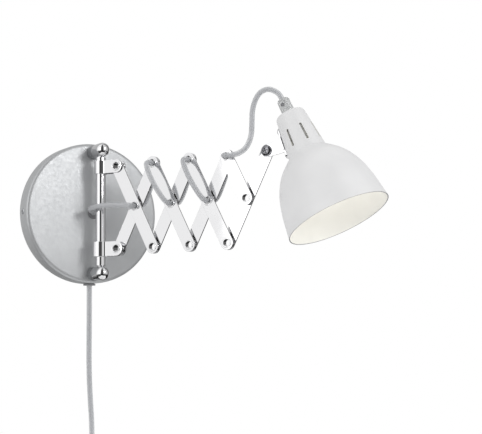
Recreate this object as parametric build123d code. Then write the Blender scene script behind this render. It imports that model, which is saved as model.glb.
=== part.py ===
from build123d import *
import math
import os

# Accordion wall lamp, in millimetres.
# +Z is up, the wall is the plane y = 0 and the room is on the -Y side.
# The origin is the centre of the canopy's wall face.

# ---- driving dimensions ----
CANOPY_R = 70.0          # canopy outside radius
CANOPY_DEPTH = 19.5      # canopy depth from the wall
CANOPY_EDGE = 4.0        # round between the canopy's rim and its face
CANOPY_WALL = 1.2
TERMINAL_Z = -24.0       # middle of the terminal block
CLAMP_Z = -52.0          # middle of the cord clamp
ROD_Y = 38.0             # rod axis in front of the wall
ROD_R = 5.0
POST_Z = 61.0            # height of the posts above and below the centre
POST_R = 7.0
BALL_Y = 42.0            # centre of the ball end of each post cap
ARM_TURN = 59.7          # arm direction, from +X towards the room
PIVOT_OUT = 20.8         # rod axis to the first pivots
TOP_Z = 43.5             # height of the upper pivots
STRIP_PITCH = 90.96      # pivot to pivot on a full strip
STRIP_ANGLE = 63.0       # strips from the horizontal, at rest
STRIP_WIDTH = 13.0
STRIP_THICK = 1.4
LAYER_OUT = 2.3          # outer face of each strip layer from the arm's middle plane
HEAD_HOLE_SHIFT = 2.0    # the last strip's top hole lies this much further out
SHADE_TILT = 26.0        # shade axis from straight down
CORD_R = 2.5             # lamp cord
MAINS_R = 2.65           # mains cord

# ---- fits ----
RUN = 0.05               # radial clearance of what turns or slides
SEAT = 0.02              # radial clearance of what is fixed
FACE_GAP = 0.1           # axial clearance between layers
TINY = 0.3               # gap between cord ends on different bodies

# ---- rivets ----
RIVET_R = 3.9            # tube of a hollow rivet
RIVET_BORE = 3.3
FLANGE_R = 4.7
FLANGE_T = 0.5
SHOULDER_R = 5.4         # thicker middle that keeps the two strip layers apart

# ---- clips ----
CLIP_THICK = 1.2
UPPER_HEIGHT = 13.0
LOWER_HEIGHT = 14.4
EAR_IN = 2.55            # inner face of each ear from the arm's middle plane
EAR_OUT = EAR_IN + CLIP_THICK
WRAP_OUT = 6.5           # outside of the upper clip's wrap round the rod
BUSH_R = 7.3             # outside of the sliding bush
SLEEVE_OUT = 8.6         # outside of the lower clip's sleeve

# ---- head ----
AXIS_OUT = 28.77         # shade axis datum from the last upper pivot, along the arm
AXIS_Z = 73.0            # height of that datum
AXIS_FRONT = 5.2         # shade axis in front of the arm's middle plane
NECK_TOP = -3.5          # stations along the shade axis, from the datum
NECK_TOP_R = 13.95       # neck radius at the datum
NECK_END = 37.8
NECK_END_R = 18.23
NECK_ROUND = 5.0
SHADE_END = 105.4
BELL = ((41.8, 22.9), (51.3, 32.1), (64.8, 39.6), (81.7, 44.4))   # station, radius
RIM_R = 48.0
SHADE_WALL = 1.0
SLOT_LENGTH = 17.5
SLOT_WIDTH = 2.3
SLOT_AT = 22.2
SLOT_TURNS = (-100, -50, 0, 50, 100)
BRACKET_AT = 18.0        # middle of the bracket plate on the neck
BRACKET_T = 1.5
PLATE_HALF = 6.0
PLATE_LONG = 15.0
BRACKET_RIVETS = 11.5    # rivets each side of the plate's middle
SCREW_R = 2.5
SCREW_HEAD_R = 5.3
GRIP_R = 6.0
GRIP_FROM, GRIP_TO = -5.5, -18.7
TAB_FRONT = PLATE_HALF - BRACKET_T - AXIS_FRONT   # depth of the tab's front face
BULB_R = 22.5
BULB_AT = 68.0

# ---- mains cord ----
EXIT_Y = 10.5            # mains cord in front of the wall
SWITCH_TOP = -229.0
SWITCH_LENGTH = 60.0
SWITCH_WIDTH = 25.0
SWITCH_DEPTH = 19.0
COIL_R = 35.0            # outermost turn of the coil, to its centreline
COIL_PITCH = 6.8         # from turn to turn and from layer to layer
COIL_LAYERS = 4
HALVES_A_LAYER = 3       # half turns in a layer, besides the one that climbs
COIL_SHIFT = 17.0        # the coil's entry to the right of the switch
COIL_BELOW = 62.0        # the coil's middle below the switch
PLUG_FORWARD = 13.0      # plug in front of the coil's last layer
CORD_X, CORD_Y = 2.6, -11.8   # the cord's place at the switch
PLUG_SLEEVE = 22.0       # strain relief
PLUG_BODY = 36.0
PLUG_HALF = 17.5         # half width of the plug's body
PLUG_THICK = 13.7
PIN_LENGTH = 19.0
PIN_TIP = 9.0            # bare metal end of each plug pin
PIN_SPREAD = 9.3         # plug pins from the plug's middle plane

# ---- wall side details ----
COVER_SCREW_Y = -9.0     # screws in the canopy's rim
COVER_SCREW_R = 1.6
POST_BOLT_R = 2.0
SPIGOT_R = 3.0           # rod's ends, which turn in the post caps
CAP_BACK = 30.2          # where the post caps start
STRAP_THICK = 2.0
WALL_SLOT = (9.0, 4.5)   # slot for a wall screw
WALL_SLOT_X = 30.0
CLAMP_SCREW_X = 8.5
TERMINAL_X, TERMINAL_HALF_Z = 6.0, 4.5   # terminal screws, from the block's middle
LEAD_R = 1.7             # pair of wires inside the canopy

# ---- lamp cord ----
FRONT_BOW = ((0, 11.3), (5.6, 16.2), (21, 17.9), (36, 14.6), (45.48, 9.4))    # along, out
REAR_BOW = ((0, 10.0), (5.6, 13.6), (19, 12.8), (34, 10.2), (45.48, 8.4))
CORD_FRONT = 3.6         # where a span meets a hollow rivet, from the arm's middle plane

# ---- worked out ----
PSI = math.radians(STRIP_ANGLE)
STEP = STRIP_PITCH * math.cos(PSI)
DROP = STRIP_PITCH * math.sin(PSI)
CONE = math.degrees(math.atan((NECK_END_R - NECK_TOP_R) / NECK_END))
LAYER_IN = LAYER_OUT - STRIP_THICK
DROP_ROUTE = ((0, -EXIT_Y, -73.2), (0, -EXIT_Y, -112.0), (-0.5, -11.0, -152.0),
              (0.9, -11.6, -186.0), (CORD_X, CORD_Y, -208.0), (CORD_X, CORD_Y, SWITCH_TOP))
SWITCH_Z = SWITCH_TOP - SWITCH_LENGTH / 2
PIN_Y = 3.4 - SWITCH_DEPTH / 2    # rocker pin, from the switch's middle plane
COIL_X = CORD_X + COIL_SHIFT - COIL_R
COIL_Z = SWITCH_TOP - SWITCH_LENGTH - COIL_BELOW
ARM = Location((0, -ROD_Y, 0), (0, 0, -ARM_TURN))
HEAD = ARM * Location(
    (PIVOT_OUT + 4 * STEP + AXIS_OUT, -AXIS_FRONT, AXIS_Z), (0, -SHADE_TILT, 0)
)


def save(name, *solids):
    """Writes one node: a single solid, or a group of separate ones."""
    shape = solids[0] if len(solids) == 1 else Compound(children=list(solids))
    export_step(shape, f"parts/{name}.step")


def rod_y(radius, y_from, y_to, x=0.0, z=0.0):
    """A round bar along Y between two depths."""
    low, high = min(y_from, y_to), max(y_from, y_to)
    bar = Cylinder(radius, high - low, rotation=(90, 0, 0))
    return Pos(x, (low + high) / 2, z) * bar


def rod_z(radius, z_from, z_to, x=0.0, y=0.0):
    """A round bar along Z between two heights."""
    low, high = min(z_from, z_to), max(z_from, z_to)
    return Pos(x, y, (low + high) / 2) * Cylinder(radius, high - low)


def turned(points):
    """A solid of revolution about Z from (radius, z) corners."""
    face = make_face(Polyline(*[(r, 0, z) for r, z in points], close=True))
    return revolve(face, Axis.Z)


def tube_along(path, radius):
    """A round tube along a path."""
    start = Plane(origin=path @ 0, z_dir=path % 0)
    return sweep(start * Circle(radius), path=path)


def eased(points):
    """The fillet radius at each corner of a route: 0.45 of the shorter run over tan(half turn)."""
    corners = [Vector(*p) for p in points]
    radii = []
    for a, b, c in zip(corners, corners[1:], corners[2:]):
        turn = math.radians((b - a).get_angle(c - b))
        shorter = min((b - a).length, (c - b).length)
        radii.append(0.45 * shorter / math.tan(turn / 2))
    return radii


def cord_along(points, radius, name):
    """A cord's tube through a route's corners; prints what the route measures."""
    radii = eased(points)
    path = FilletPolyline(*points, radius=radii)
    tube = tube_along(path, radius)
    least = min(radii)
    exact = math.pi * radius**2 * path.length
    print(f"{name}: length {path.length:.1f}, least radius {least:.1f},"
          f" volume {tube.volume:.0f} of {exact:.0f}")
    return tube


# ---- wall side ----
def canopy():
    outer = [(0, 0), (CANOPY_R, 0), (CANOPY_R, CANOPY_DEPTH), (0, CANOPY_DEPTH)]
    cup = turned(outer)
    rim = cup.edges().filter_by(GeomType.CIRCLE).group_by(Axis.Z)[-1]
    cup = fillet(rim, CANOPY_EDGE)
    inside = turned([(0, -1), (CANOPY_R - CANOPY_WALL, -1),
                     (CANOPY_R - CANOPY_WALL, CANOPY_DEPTH - CANOPY_WALL),
                     (0, CANOPY_DEPTH - CANOPY_WALL)])
    top = inside.edges().filter_by(GeomType.CIRCLE).group_by(Axis.Z)[-1]
    inside = fillet(top, CANOPY_EDGE - CANOPY_WALL)
    cup = Rot(90, 0, 0) * (cup - inside)
    for z in (-POST_Z, POST_Z):
        cup -= rod_y(POST_BOLT_R + 0.1, -CANOPY_DEPTH - 2, -CANOPY_DEPTH + 3, z=z)
    cup -= rod_y(4.6, -CANOPY_DEPTH - 2, -CANOPY_DEPTH + 3)
    cup -= rod_z(5.1, -CANOPY_R - 2, -CANOPY_R + 4, y=-EXIT_Y)
    for side in (-1, 1):
        hole = Cylinder(2.05, 8, rotation=(0, 90, 0))
        cup -= Pos(side * CANOPY_R, COVER_SCREW_Y, 0) * hole
    return cup


def wall_bracket():
    """Strap with slots for the wall screws, bent ends for the canopy and a tongue for the block."""
    half = CANOPY_R - CANOPY_WALL - 0.5
    thick = STRAP_THICK
    bar = Pos(0, -thick / 2, 0) * Box(2 * half - 10, thick, 22)
    bar += Pos(0, -thick / 2, 0) * Box(2 * half, thick, 14)
    for side in (-1, 1):
        end = side * (half - thick / 2)
        tab = Pos(end, -7.0, 0) * Box(thick, 14, 14)
        tab -= Pos(end, COVER_SCREW_Y, 0) * Cylinder(COVER_SCREW_R + 0.05, 6, rotation=(0, 90, 0))
        bar += tab
        slot = Plane.XZ * SlotOverall(*WALL_SLOT)
        bar -= Pos(side * WALL_SLOT_X, 1, 0) * extrude(slot, 2 * thick)
    bar += Pos(0, -thick / 2, (CLAMP_Z - 5) / 2) * Box(24, thick, 5 - CLAMP_Z)
    return bar


def side_screws():
    half = CANOPY_R - CANOPY_WALL - 0.5
    screws = []
    for side in (-1, 1):
        shank = Cylinder(COVER_SCREW_R, 5, rotation=(0, 90, 0))
        neck = Pos(side * 2.3, 0, 0) * Cylinder(COVER_SCREW_R, 1, rotation=(0, 90, 0))
        head = Pos(side * 3.1, 0, 0) * Cylinder(1.9, 1.6, rotation=(0, 90, 0))
        slot = Pos(side * 3.9, 0, 0) * Box(1.2, 3, 0.7)
        screws.append(Pos(side * (half - 1.5), COVER_SCREW_Y, 0) * (shank + neck + head - slot))
    return screws


def post(z):
    bar = rod_y(POST_R, -CANOPY_DEPTH, -30, z=z)
    bar = fillet(bar.edges().group_by(Axis.Y)[0], 0.4)
    return bar - rod_y(POST_BOLT_R + 0.1, 0, -31, z=z)


def post_cap(z):
    """The cap with the ball end that holds the rod's spigot."""
    side = 1 if z > 0 else -1
    cap = rod_y(POST_R, -CAP_BACK, -BALL_Y, z=z)
    cap = fillet(cap.edges().group_by(Axis.Y)[-1], 0.5)
    cap += Pos(0, -BALL_Y, z) * Sphere(POST_R)
    cap -= rod_z(SPIGOT_R + RUN, z - side * 9, z + side * 1.5, y=-ROD_Y)
    return cap - rod_y(POST_BOLT_R + SEAT, -29, -34, z=z)


def post_bolt(z):
    """Bolt from inside the canopy through the post into its cap."""
    inner = -(CANOPY_DEPTH - CANOPY_WALL)
    shank = rod_y(POST_BOLT_R, inner, -33.8, z=z)
    head = rod_y(3.5, inner + 2.6, inner, z=z)
    cross = Pos(0, inner + 2.6, z)
    return shank + head - cross * Box(4, 2, 0.9) - cross * Box(0.9, 2, 4)


def face_grommet():
    """Soft ring where the lamp cord leaves the canopy's face."""
    face = -CANOPY_DEPTH
    ring = rod_y(6.2, face - 1.2, face, z=0) + rod_y(4.5, face - 0.5, face + 2, z=0)
    ring += rod_y(6.0, face + CANOPY_WALL, face + CANOPY_WALL + 1.2, z=0)
    return ring - rod_y(CORD_R + 0.1, face - 3, face + 5, z=0)


def mains_gland():
    """Cord gland through the canopy's lower rim, with a collar inside and out."""
    wall = -CANOPY_R
    body = rod_z(5, wall - 1, wall + 4.6, y=-EXIT_Y)
    body += rod_z(6.2, wall - 2.0, wall - 0.4, y=-EXIT_Y)
    body += rod_z(6.4, wall + CANOPY_WALL + 0.8, wall + 4.6, y=-EXIT_Y)
    return body - rod_z(MAINS_R + 0.1, wall - 5, wall + 8, y=-EXIT_Y)


def terminal_block():
    block = Pos(0, -7.5, TERMINAL_Z) * Box(24, 11, 17)
    block = fillet(block.edges().filter_by(Axis.Z), 1.2)
    for x in (-TERMINAL_X, TERMINAL_X):
        block -= rod_z(LEAD_R + 0.2, TERMINAL_Z - 20, TERMINAL_Z + 20, x=x, y=-7)
        for z in (-TERMINAL_HALF_Z, TERMINAL_HALF_Z):
            block -= rod_y(1.9 + SEAT, -9.2, -20, x=x, z=TERMINAL_Z + z)
    return block


def inner_screws():
    """Four terminal screws and the two that close the cord clamp."""
    screws = []
    for x in (-TERMINAL_X, TERMINAL_X):
        for z in (-TERMINAL_HALF_Z, TERMINAL_HALF_Z):
            screw = rod_y(1.9, -9.2, -12.4, x=x, z=TERMINAL_Z + z)
            slot = Pos(x, -12.4, TERMINAL_Z + z) * Box(3.2, 1.2, 0.6)
            screws.append(screw - slot)
    for x in (-CLAMP_SCREW_X, CLAMP_SCREW_X):
        screw = rod_y(1.3, -3, -16.8, x=x, z=CLAMP_Z)
        screws.append(screw + rod_y(2.4, -15.5, -17.2, x=x, z=CLAMP_Z))
    return screws


def cord_clamp():
    """Saddle on the wall side and the bar that presses the mains cord into it."""
    saddle = Pos(0, -6, CLAMP_Z) * Box(24, 8, 7)
    bar = Pos(0, -12.95, CLAMP_Z) * Box(24, 5, 7)
    groove = rod_z(MAINS_R + SEAT, CLAMP_Z - 9, CLAMP_Z + 9, y=-EXIT_Y)
    for x in (-CLAMP_SCREW_X, CLAMP_SCREW_X):
        bar -= rod_y(1.5, -10, -20, x=x, z=CLAMP_Z)
        saddle -= rod_y(1.3 + SEAT, -2.9, -12, x=x, z=CLAMP_Z)
    return saddle - groove, bar - groove


def inner_leads():
    """Both cords inside the canopy: sheathed at the entry, then a thinner pair to the terminals."""
    wall = -CANOPY_R - 3.2
    face = -CANOPY_DEPTH
    mains = rod_z(MAINS_R, wall, -44, y=-EXIT_Y)
    lamp = rod_y(CORD_R, face, face + 4.5)
    low = TERMINAL_Z - 3
    high = TERMINAL_Z + 3
    mains_pair = [(0, -EXIT_Y, -46), (0, -EXIT_Y, -43), (-5.2, -7.4, -39.2), (-6, -7, -35.2), (-6, -7, low)]
    lamp_pair = [(0, face + 3, 0), (0, face + 8, 0), (3.6, -7.8, -2.4), (6, -7, -8), (6, -7, high)]
    leads = []
    for sheath, route in ((mains, mains_pair), (lamp, lamp_pair)):
        path = FilletPolyline(*route, radius=eased(route))
        leads.append(sheath + tube_along(path, LEAD_R))
    return leads


# ---- swivelling rod and clips, in the arm's own frame: X along the arm, -Y its front ----
def rod():
    end = POST_Z - POST_R - 0.2
    bar = rod_z(ROD_R, -end, end)
    bar = chamfer(bar.edges().filter_by(GeomType.CIRCLE), 0.5)
    return bar + rod_z(SPIGOT_R, -POST_Z - 1.2, POST_Z + 1.2)


def upper_clip():
    """Sheet wrapped round the rod and clamped on it, with two ears for the first pivot."""
    return clip_shape(ROD_R + SEAT, WRAP_OUT, UPPER_HEIGHT, TOP_Z)


def clip_shape(inner, outer, height, z):
    ear_length = PIVOT_OUT + height / 2
    wrap = Cylinder(outer, height)
    ears = Pos(ear_length / 2, 0, 0) * Box(ear_length, 2 * EAR_OUT, height)
    body = wrap + ears
    gap = Pos(ear_length / 2 + 2, 0, 0) * Box(ear_length + 4, 2 * EAR_IN, height + 2)
    body = body - gap - Cylinder(inner, height + 2)
    keep = Pos(PIVOT_OUT, 0, 0) * Cylinder(height / 2, 30, rotation=(90, 0, 0))
    keep += Pos(PIVOT_OUT / 2 - 10, 0, 0) * Box(PIVOT_OUT + 20, 30, height)
    body = body & keep
    body -= rod_y(RIVET_R + SEAT, -20, 20, x=PIVOT_OUT)
    return Pos(0, 0, z) * body


def lower_clip():
    """The sliding clip: a wider sleeve round a bush, its ears set in from the sleeve."""
    return clip_shape(BUSH_R + SEAT, SLEEVE_OUT, LOWER_HEIGHT, TOP_Z - DROP)


def slide_bush():
    z = TOP_Z - DROP
    half = LOWER_HEIGHT / 2 + 0.3
    bush = rod_z(BUSH_R, z - half, z + half) - rod_z(ROD_R + RUN, z - 9, z + 9)
    slit = Pos(BUSH_R, 0, z) * Box(BUSH_R, 1, 20)
    return bush - slit


# ---- scissor lattice ----
def pivot(kind, k):
    """(x, z) of a pivot in the arm's frame: top t, centre c or bottom b, counted from the rod."""
    if kind == "t":
        return PIVOT_OUT + k * STEP, TOP_Z
    if kind == "b":
        return PIVOT_OUT + k * STEP, TOP_Z - DROP
    return PIVOT_OUT + (k - 0.5) * STEP, TOP_Z - DROP / 2


def strip(ends, holes, inner):
    """A flat strip with round ends, its finished face away from the arm's middle plane.

    holes is a list of (x, z, radius), and inner is the depth of the strip's inner face.
    """
    (x0, z0), (x1, z1) = ends
    length = math.hypot(x1 - x0, z1 - z0)
    angle = math.degrees(math.atan2(z1 - z0, x1 - x0))
    bar = extrude(SlotCenterToCenter(length, STRIP_WIDTH), STRIP_THICK)
    bar = chamfer(bar.faces().sort_by(Axis.Z)[-1].edges(), 0.15)
    bar = Rot(90 if inner < 0 else -90, 0, 0) * bar
    bar = Pos((x0 + x1) / 2, inner, (z0 + z1) / 2) * Rot(0, -angle, 0) * bar
    for x, z, radius in holes:
        bar -= rod_y(radius, -20, 20, x=x, z=z)
    return bar


def rivet(x, z, reach, shoulder):
    """A hollow rivet with a rolled flange at each end.

    reach is how far its outer faces lie from the middle plane, and shoulder the two depths
    between which it is thicker and keeps the layers apart.
    """
    tube = rod_y(RIVET_R, -reach - FLANGE_T, reach + FLANGE_T, x=x, z=z)
    tube += rod_y(SHOULDER_R, *shoulder, x=x, z=z)
    for side in (-1, 1):
        flange = rod_y(FLANGE_R, side * reach, side * (reach + FLANGE_T), x=x, z=z)
        tube += fillet(flange.edges().sort_by(Axis.Y)[0 if side < 0 else -1], 0.3)
    return tube - rod_y(RIVET_BORE, -30, 30, x=x, z=z)


def lattice():
    """Strips and rivets, keyed by node name."""
    made = {}
    turning, fixed = RIVET_R + RUN, RIVET_R + SEAT
    inner = LAYER_IN - FACE_GAP
    reach = LAYER_OUT + FACE_GAP / 2
    for k in range(1, 5):
        top, centre, bottom = pivot("t", k - 1), pivot("c", k), pivot("b", k)
        ends = (top, centre) if k == 4 else (top, bottom)
        holes = [(*top, turning), (*centre, fixed)]
        if k < 4:
            holes.append((*bottom, fixed))
        made[f"front_strip_{k}"] = [strip(ends, holes, -LAYER_IN)]
        spots = [centre] if k == 4 else [centre, bottom]
        made[f"front_rivets_{k}"] = [rivet(*p, reach, (-inner, inner)) for p in spots]
        low, high = pivot("b", k - 1), pivot("t", k)
        if k == 4:
            high = head_pivot()
        holes = [(*low, RIVET_R + 2 * RUN), (*centre, turning)]
        holes.append((*high, SCREW_R + SEAT) if k == 4 else (*high, fixed))
        made[f"rear_strip_{k}"] = [strip((low, high), holes, LAYER_IN)]
        if k < 4:
            made[f"rear_rivet_{k}"] = [rivet(*high, reach, (-inner, inner))]
    return made


def head_pivot():
    """(x, z) of the tilt pivot in the arm's frame."""
    x, z = pivot("t", 4)
    return x + HEAD_HOLE_SHIFT * math.cos(PSI), z + HEAD_HOLE_SHIFT * math.sin(PSI)


def clip_rivets():
    """The rivets that carry the first two strips between the clips' ears."""
    x, top = pivot("t", 0)
    low = pivot("b", 0)[1]
    strip_side = LAYER_IN - FACE_GAP
    upper = rivet(x, top, EAR_OUT, (-strip_side, EAR_IN - SEAT))
    lower = rivet(x, low, EAR_OUT, (-EAR_IN + SEAT, strip_side))
    return {"upper_clip_rivet": [upper], "lower_clip_rivet": [lower]}


# ---- head, in the shade's frame: Z up its axis, X away from the arm, -Y its front ----
def neck_r(station):
    return NECK_TOP_R + station * (NECK_END_R - NECK_TOP_R) / NECK_END


def shade_profile(inset):
    """The shade's outline on one side as (radius, height), moved inwards by inset."""
    square = inset / math.cos(math.radians(CONE))
    neck = [(neck_r(NECK_TOP) - square, -NECK_TOP - inset),
            (neck_r(NECK_END) - square, -NECK_END - 0.45 * inset)]
    stations = [(NECK_END, NECK_END_R), *BELL, (SHADE_END, RIM_R)]
    bell = []
    for i in range(1, len(stations)):
        s, r = stations[i]
        before, after = stations[i - 1], stations[min(i + 1, len(stations) - 1)]
        ds, dr = after[0] - before[0], after[1] - before[1]
        size = math.hypot(ds, dr)
        bell.append((r - inset * ds / size, -s - inset * dr / size))
    bell[-1] = (bell[-1][0], -SHADE_END)
    return neck, bell


def shade_solid(inset, top_round):
    neck, bell = shade_profile(inset)
    (r0, z0), (r1, z1) = neck
    flat = r0 - top_round
    lines = Line((0, 0, z0), (flat, 0, z0))
    lines += ThreePointArc((flat, 0, z0),
                           (flat + top_round * 0.707, 0, z0 - top_round * 0.293),
                           (r0 + top_round * 0.11, 0, z0 - top_round))
    lines += Line((r0 + top_round * 0.11, 0, z0 - top_round), (r1, 0, z1))
    lines += Spline((r1, 0, z1), *[(r, 0, z) for r, z in bell])
    lines += Line((bell[-1][0], 0, bell[-1][1]), (0, 0, -SHADE_END))
    lines += Line((0, 0, -SHADE_END), (0, 0, z0))
    return revolve(make_face(lines), Axis.Z)


def shade():
    shell = shade_solid(0, NECK_ROUND) - shade_solid(SHADE_WALL, NECK_ROUND - SHADE_WALL)
    for turn in SLOT_TURNS:
        slot = extrude(Plane.YZ * Rot(0, 0, 90) * SlotOverall(SLOT_LENGTH, SLOT_WIDTH), 25)
        shell -= Rot(0, 0, turn) * Pos(5, 0, -SLOT_AT) * slot
    shell -= rod_z(5.1, 0, 8)
    bracket = bracket_frame()
    for side in (-1, 1):
        hole = Cylinder(1.65, 8, rotation=(0, 90, 0))
        shell -= bracket * Pos(0, 0, side * BRACKET_RIVETS) * hole
    return shell


def bracket_frame():
    """Frame on the neck's side nearest the arm: X out of the neck, Z down along it."""
    return Location((-neck_r(BRACKET_AT), 0, -BRACKET_AT), (0, 180 + CONE, 0))


def tilt_bracket():
    """Plate riveted on the neck, and the tab bent off its rear edge to the tilt pivot."""
    pivot_x, pivot_z = head_pivot()
    spot = ((HEAD * bracket_frame()).inverse() * ARM * Pos(pivot_x, 0, pivot_z)).position
    x, z = spot.X, spot.Z
    plate = Pos(BRACKET_T / 2, 0, 0) * Box(BRACKET_T, 2 * PLATE_HALF, 13)
    plate += extrude(Plane.YZ * Rot(0, 0, 90) * SlotOverall(2 * PLATE_LONG, 8.4), BRACKET_T)
    tab = make_face(Polyline((0, -6.5), (x, z - 6), (x, z + 6), (0, 6.5), close=True))
    tab += Pos(x, z) * Circle(6)
    body = plate + Pos(0, PLATE_HALF, 0) * extrude(Plane.XZ * tab, BRACKET_T)
    body -= rod_y(SCREW_R + RUN, -20, 20, x=x, z=z)
    for side in (-1, 1):
        hole = Cylinder(1.6 + SEAT, 8, rotation=(0, 90, 0))
        body -= Pos(0, 0, side * BRACKET_RIVETS) * hole
    return bracket_frame() * body


def bracket_rivets():
    rivets = []
    for side in (-1, 1):
        dome = Pos(BRACKET_T - 0.9, 0, 0) * Sphere(2.9)
        dome &= Pos(BRACKET_T + 5, 0, 0) * Box(10, 10, 10)
        shank = Pos(-0.3, 0, 0) * Cylinder(1.6, 2 * BRACKET_T + 0.6, rotation=(0, 90, 0))
        tail = Pos(-1.75, 0, 0) * Cylinder(2.4, 0.9, rotation=(0, 90, 0))
        rivets.append(bracket_frame() * Pos(0, 0, side * BRACKET_RIVETS) * (dome + shank + tail))
    return rivets


def tilt_screw():
    """Pan-head cross-recess screw through the bracket's tab and the last strip."""
    x, z = head_pivot()
    top = TAB_FRONT - 2.7
    head = rod_y(SCREW_HEAD_R, TAB_FRONT - 0.05, top, x=x, z=z)
    head = fillet(head.edges().sort_by(Axis.Y)[0], 1.6)
    shank = rod_y(SCREW_R, TAB_FRONT - 0.5, LAYER_OUT + 4.4, x=x, z=z)
    cross = Pos(x, top, z)
    return head + shank - cross * Box(4.4, 2.2, 1.0) - cross * Box(1.0, 2.2, 4.4)


def tilt_nut():
    """Lock nut with a washer face behind the last strip."""
    x, z = head_pivot()
    face = LAYER_OUT + 0.05
    nut = Pos(x, face + 0.7, z) * extrude(Plane.XZ * RegularPolygon(4.4, 6), -3.2)
    nut += rod_y(5, face, face + 0.7, x=x, z=z)
    return nut - rod_y(SCREW_R + SEAT, -20, 20, x=x, z=z)


def cord_grip():
    """Clear clamp at the top of the neck where the lamp cord enters."""
    grip = rod_z(GRIP_R, -GRIP_FROM, -GRIP_TO)
    grip = fillet(grip.edges().filter_by(GeomType.CIRCLE).group_by(Axis.Z)[-1], 1.0)
    grip -= rod_z(CORD_R + 0.05, 0, 30)
    side = Pos(0, -GRIP_R, 12.6) * Cylinder(1.6 + SEAT, 7, rotation=(90, 0, 0))
    return grip - side


def grip_screw():
    screw = Pos(0, -GRIP_R + 1.2, 12.6) * Cylinder(1.6, 3.6, rotation=(90, 0, 0))
    return screw - Pos(0, -GRIP_R - 0.6, 12.6) * Box(2.4, 1.2, 0.6)


def nipple():
    """Threaded tube from the cord grip into the lamp holder, with a collar on the neck's top."""
    tube = rod_z(4.95, -6.5, -GRIP_FROM - SEAT)
    tube += rod_z(5.9, -NECK_TOP + SEAT, -GRIP_FROM - SEAT)
    return tube - rod_z(CORD_R + 0.6, -10, 10)


def lamp_holder():
    """Lamp holder: its bore takes the nipple above and the bulb's base below."""
    bore = 4.95 + SEAT
    return turned([(bore, 2.3), (8.2, 2.3), (11.0, -1.5), (12.1, -5), (12.1, -12),
                   (13.3, -14), (13.3, -43), (8.9, -43), (8.9, -17), (bore, -17)])


def holder_contacts():
    """Spring tongue for the bulb's end contact, and the strip beside its thread."""
    centre = Pos(0, 0, -17.8) * Box(9.4, 3, 0.5)
    side = Pos(8.2, 0, -30) * Box(0.6, 3, 12)
    return [centre, side]


def bulb_base():
    """Screw base of the bulb, with rolled thread grooves and its end contact."""
    points = [(0, -19.0), (2.4, -19.0), (2.8, -21.2), (6.4, -23)]
    for turn in range(6):
        z = -24 - 3.2 * turn
        points += [(7.0, z), (7.0, z - 1.0), (6.5, z - 1.6), (6.5, z - 2.6)]
    points += [(7.4, -43.4), (0, -43.4)]
    return turned(points)


def bulb_glass():
    """Round opal bulb."""
    stem = turned([(0, -43.5), (9.4, -43.5), (12.0, -50), (0, -56)])
    ball = Pos(0, 0, -BULB_AT) * Sphere(BULB_R)
    return ball + stem


# ---- lamp cord, in the arm's frame as (x, front, z), front being towards the room ----
def arm_route(points):
    return [(x, -front, z) for x, front, z in points]


def loop_route(start, end, side):
    """A bowed span between two hollow rivets; side is 1 in front of the strip, -1 behind."""
    (x0, z0), (x1, z1) = start, end
    half = STRIP_PITCH / 2
    near = CORD_FRONT + TINY / 2 if side > 0 else -(CORD_FRONT - TINY / 2)
    shape = [(0, near), *(FRONT_BOW if side > 0 else REAR_BOW), (half, near)]
    return [(x0 + (x1 - x0) * w / half, side * out, z0 + (z1 - z0) * w / half)
            for w, out in shape]


def wall_span_route():
    face = ROD_Y - CANOPY_DEPTH
    turn = math.radians(ARM_TURN)
    x1, z1 = pivot("c", 1)
    outwards = [(-out * math.sin(turn), -out * math.cos(turn), 0) for out in (face, face - 6.5)]
    return outwards + [(-10.6, 2.6, 1.0), (-5.0, 11.2, 2.6), (8.0, 13.0, 4.2), (22.2, 12.2, 4.0),
                       (33.6, 13.4, 3.4), (x1, 10.9, z1), (x1, CORD_FRONT + TINY / 2, z1)]


def head_span_route():
    x3, z3 = pivot("t", 3)
    tilt = math.radians(SHADE_TILT)
    x_axis = PIVOT_OUT + 4 * STEP + AXIS_OUT
    middle = ((0, 9.9, -0.3), (9.0, 12.7, -1.2), (19.1, 13.0, -0.9), (28.3, 13.0, 4.2),
              (33.1, 12.5, 15.0), (33.1, 11.5, 28.6), (33.0, 10.6, 39.0), (36.0, 10.0, 48.8),
              (40.9, 9.3, 55.4), (48.3, 8.1, 57.8), (55.2, 6.5, 54.9))
    points = [(x3, CORD_FRONT + TINY / 2, z3)]
    points += [(x3 + x, front, z3 + z) for x, front, z in middle]
    for up in (5.4 - GRIP_TO, -GRIP_TO - 6.0):
        points.append((x_axis - up * math.sin(tilt), AXIS_FRONT, AXIS_Z + up * math.cos(tilt)))
    return points


def lamp_cord():
    made = {"cord_wall_span": wall_span_route(), "cord_head_span": head_span_route()}
    for k in (1, 2, 3):
        made[f"cord_rear_loop_{k}"] = loop_route(pivot("c", k), pivot("t", k), -1)
    for k in (2, 3):
        made[f"cord_front_loop_{k}"] = loop_route(pivot("t", k - 1), pivot("c", k), 1)
    return {n: [ARM * cord_along(arm_route(r), CORD_R, n)] for n, r in made.items()}


# ---- mains cord ----
def coil_corners():
    """Ends of the coil's half turns, right and left in turn, and the plug's place."""
    radius, depth, side = COIL_R, CORD_Y, 1
    corners = [(COIL_X + radius, depth, COIL_Z)]
    for layer in range(COIL_LAYERS):
        inward = -1 if layer % 2 == 0 else 1
        for half in range(HALVES_A_LAYER):
            radius += inward * COIL_PITCH / 2
            side = -side
            corners.append((COIL_X + side * radius, depth, COIL_Z))
        if layer < COIL_LAYERS - 1:
            side = -side
            depth -= COIL_PITCH
            corners.append((COIL_X + side * radius, depth, COIL_Z))
    plug_x = COIL_X + COIL_R + COIL_PITCH / 2
    corners.append((plug_x, depth - PLUG_FORWARD, COIL_Z))
    return corners


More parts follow.
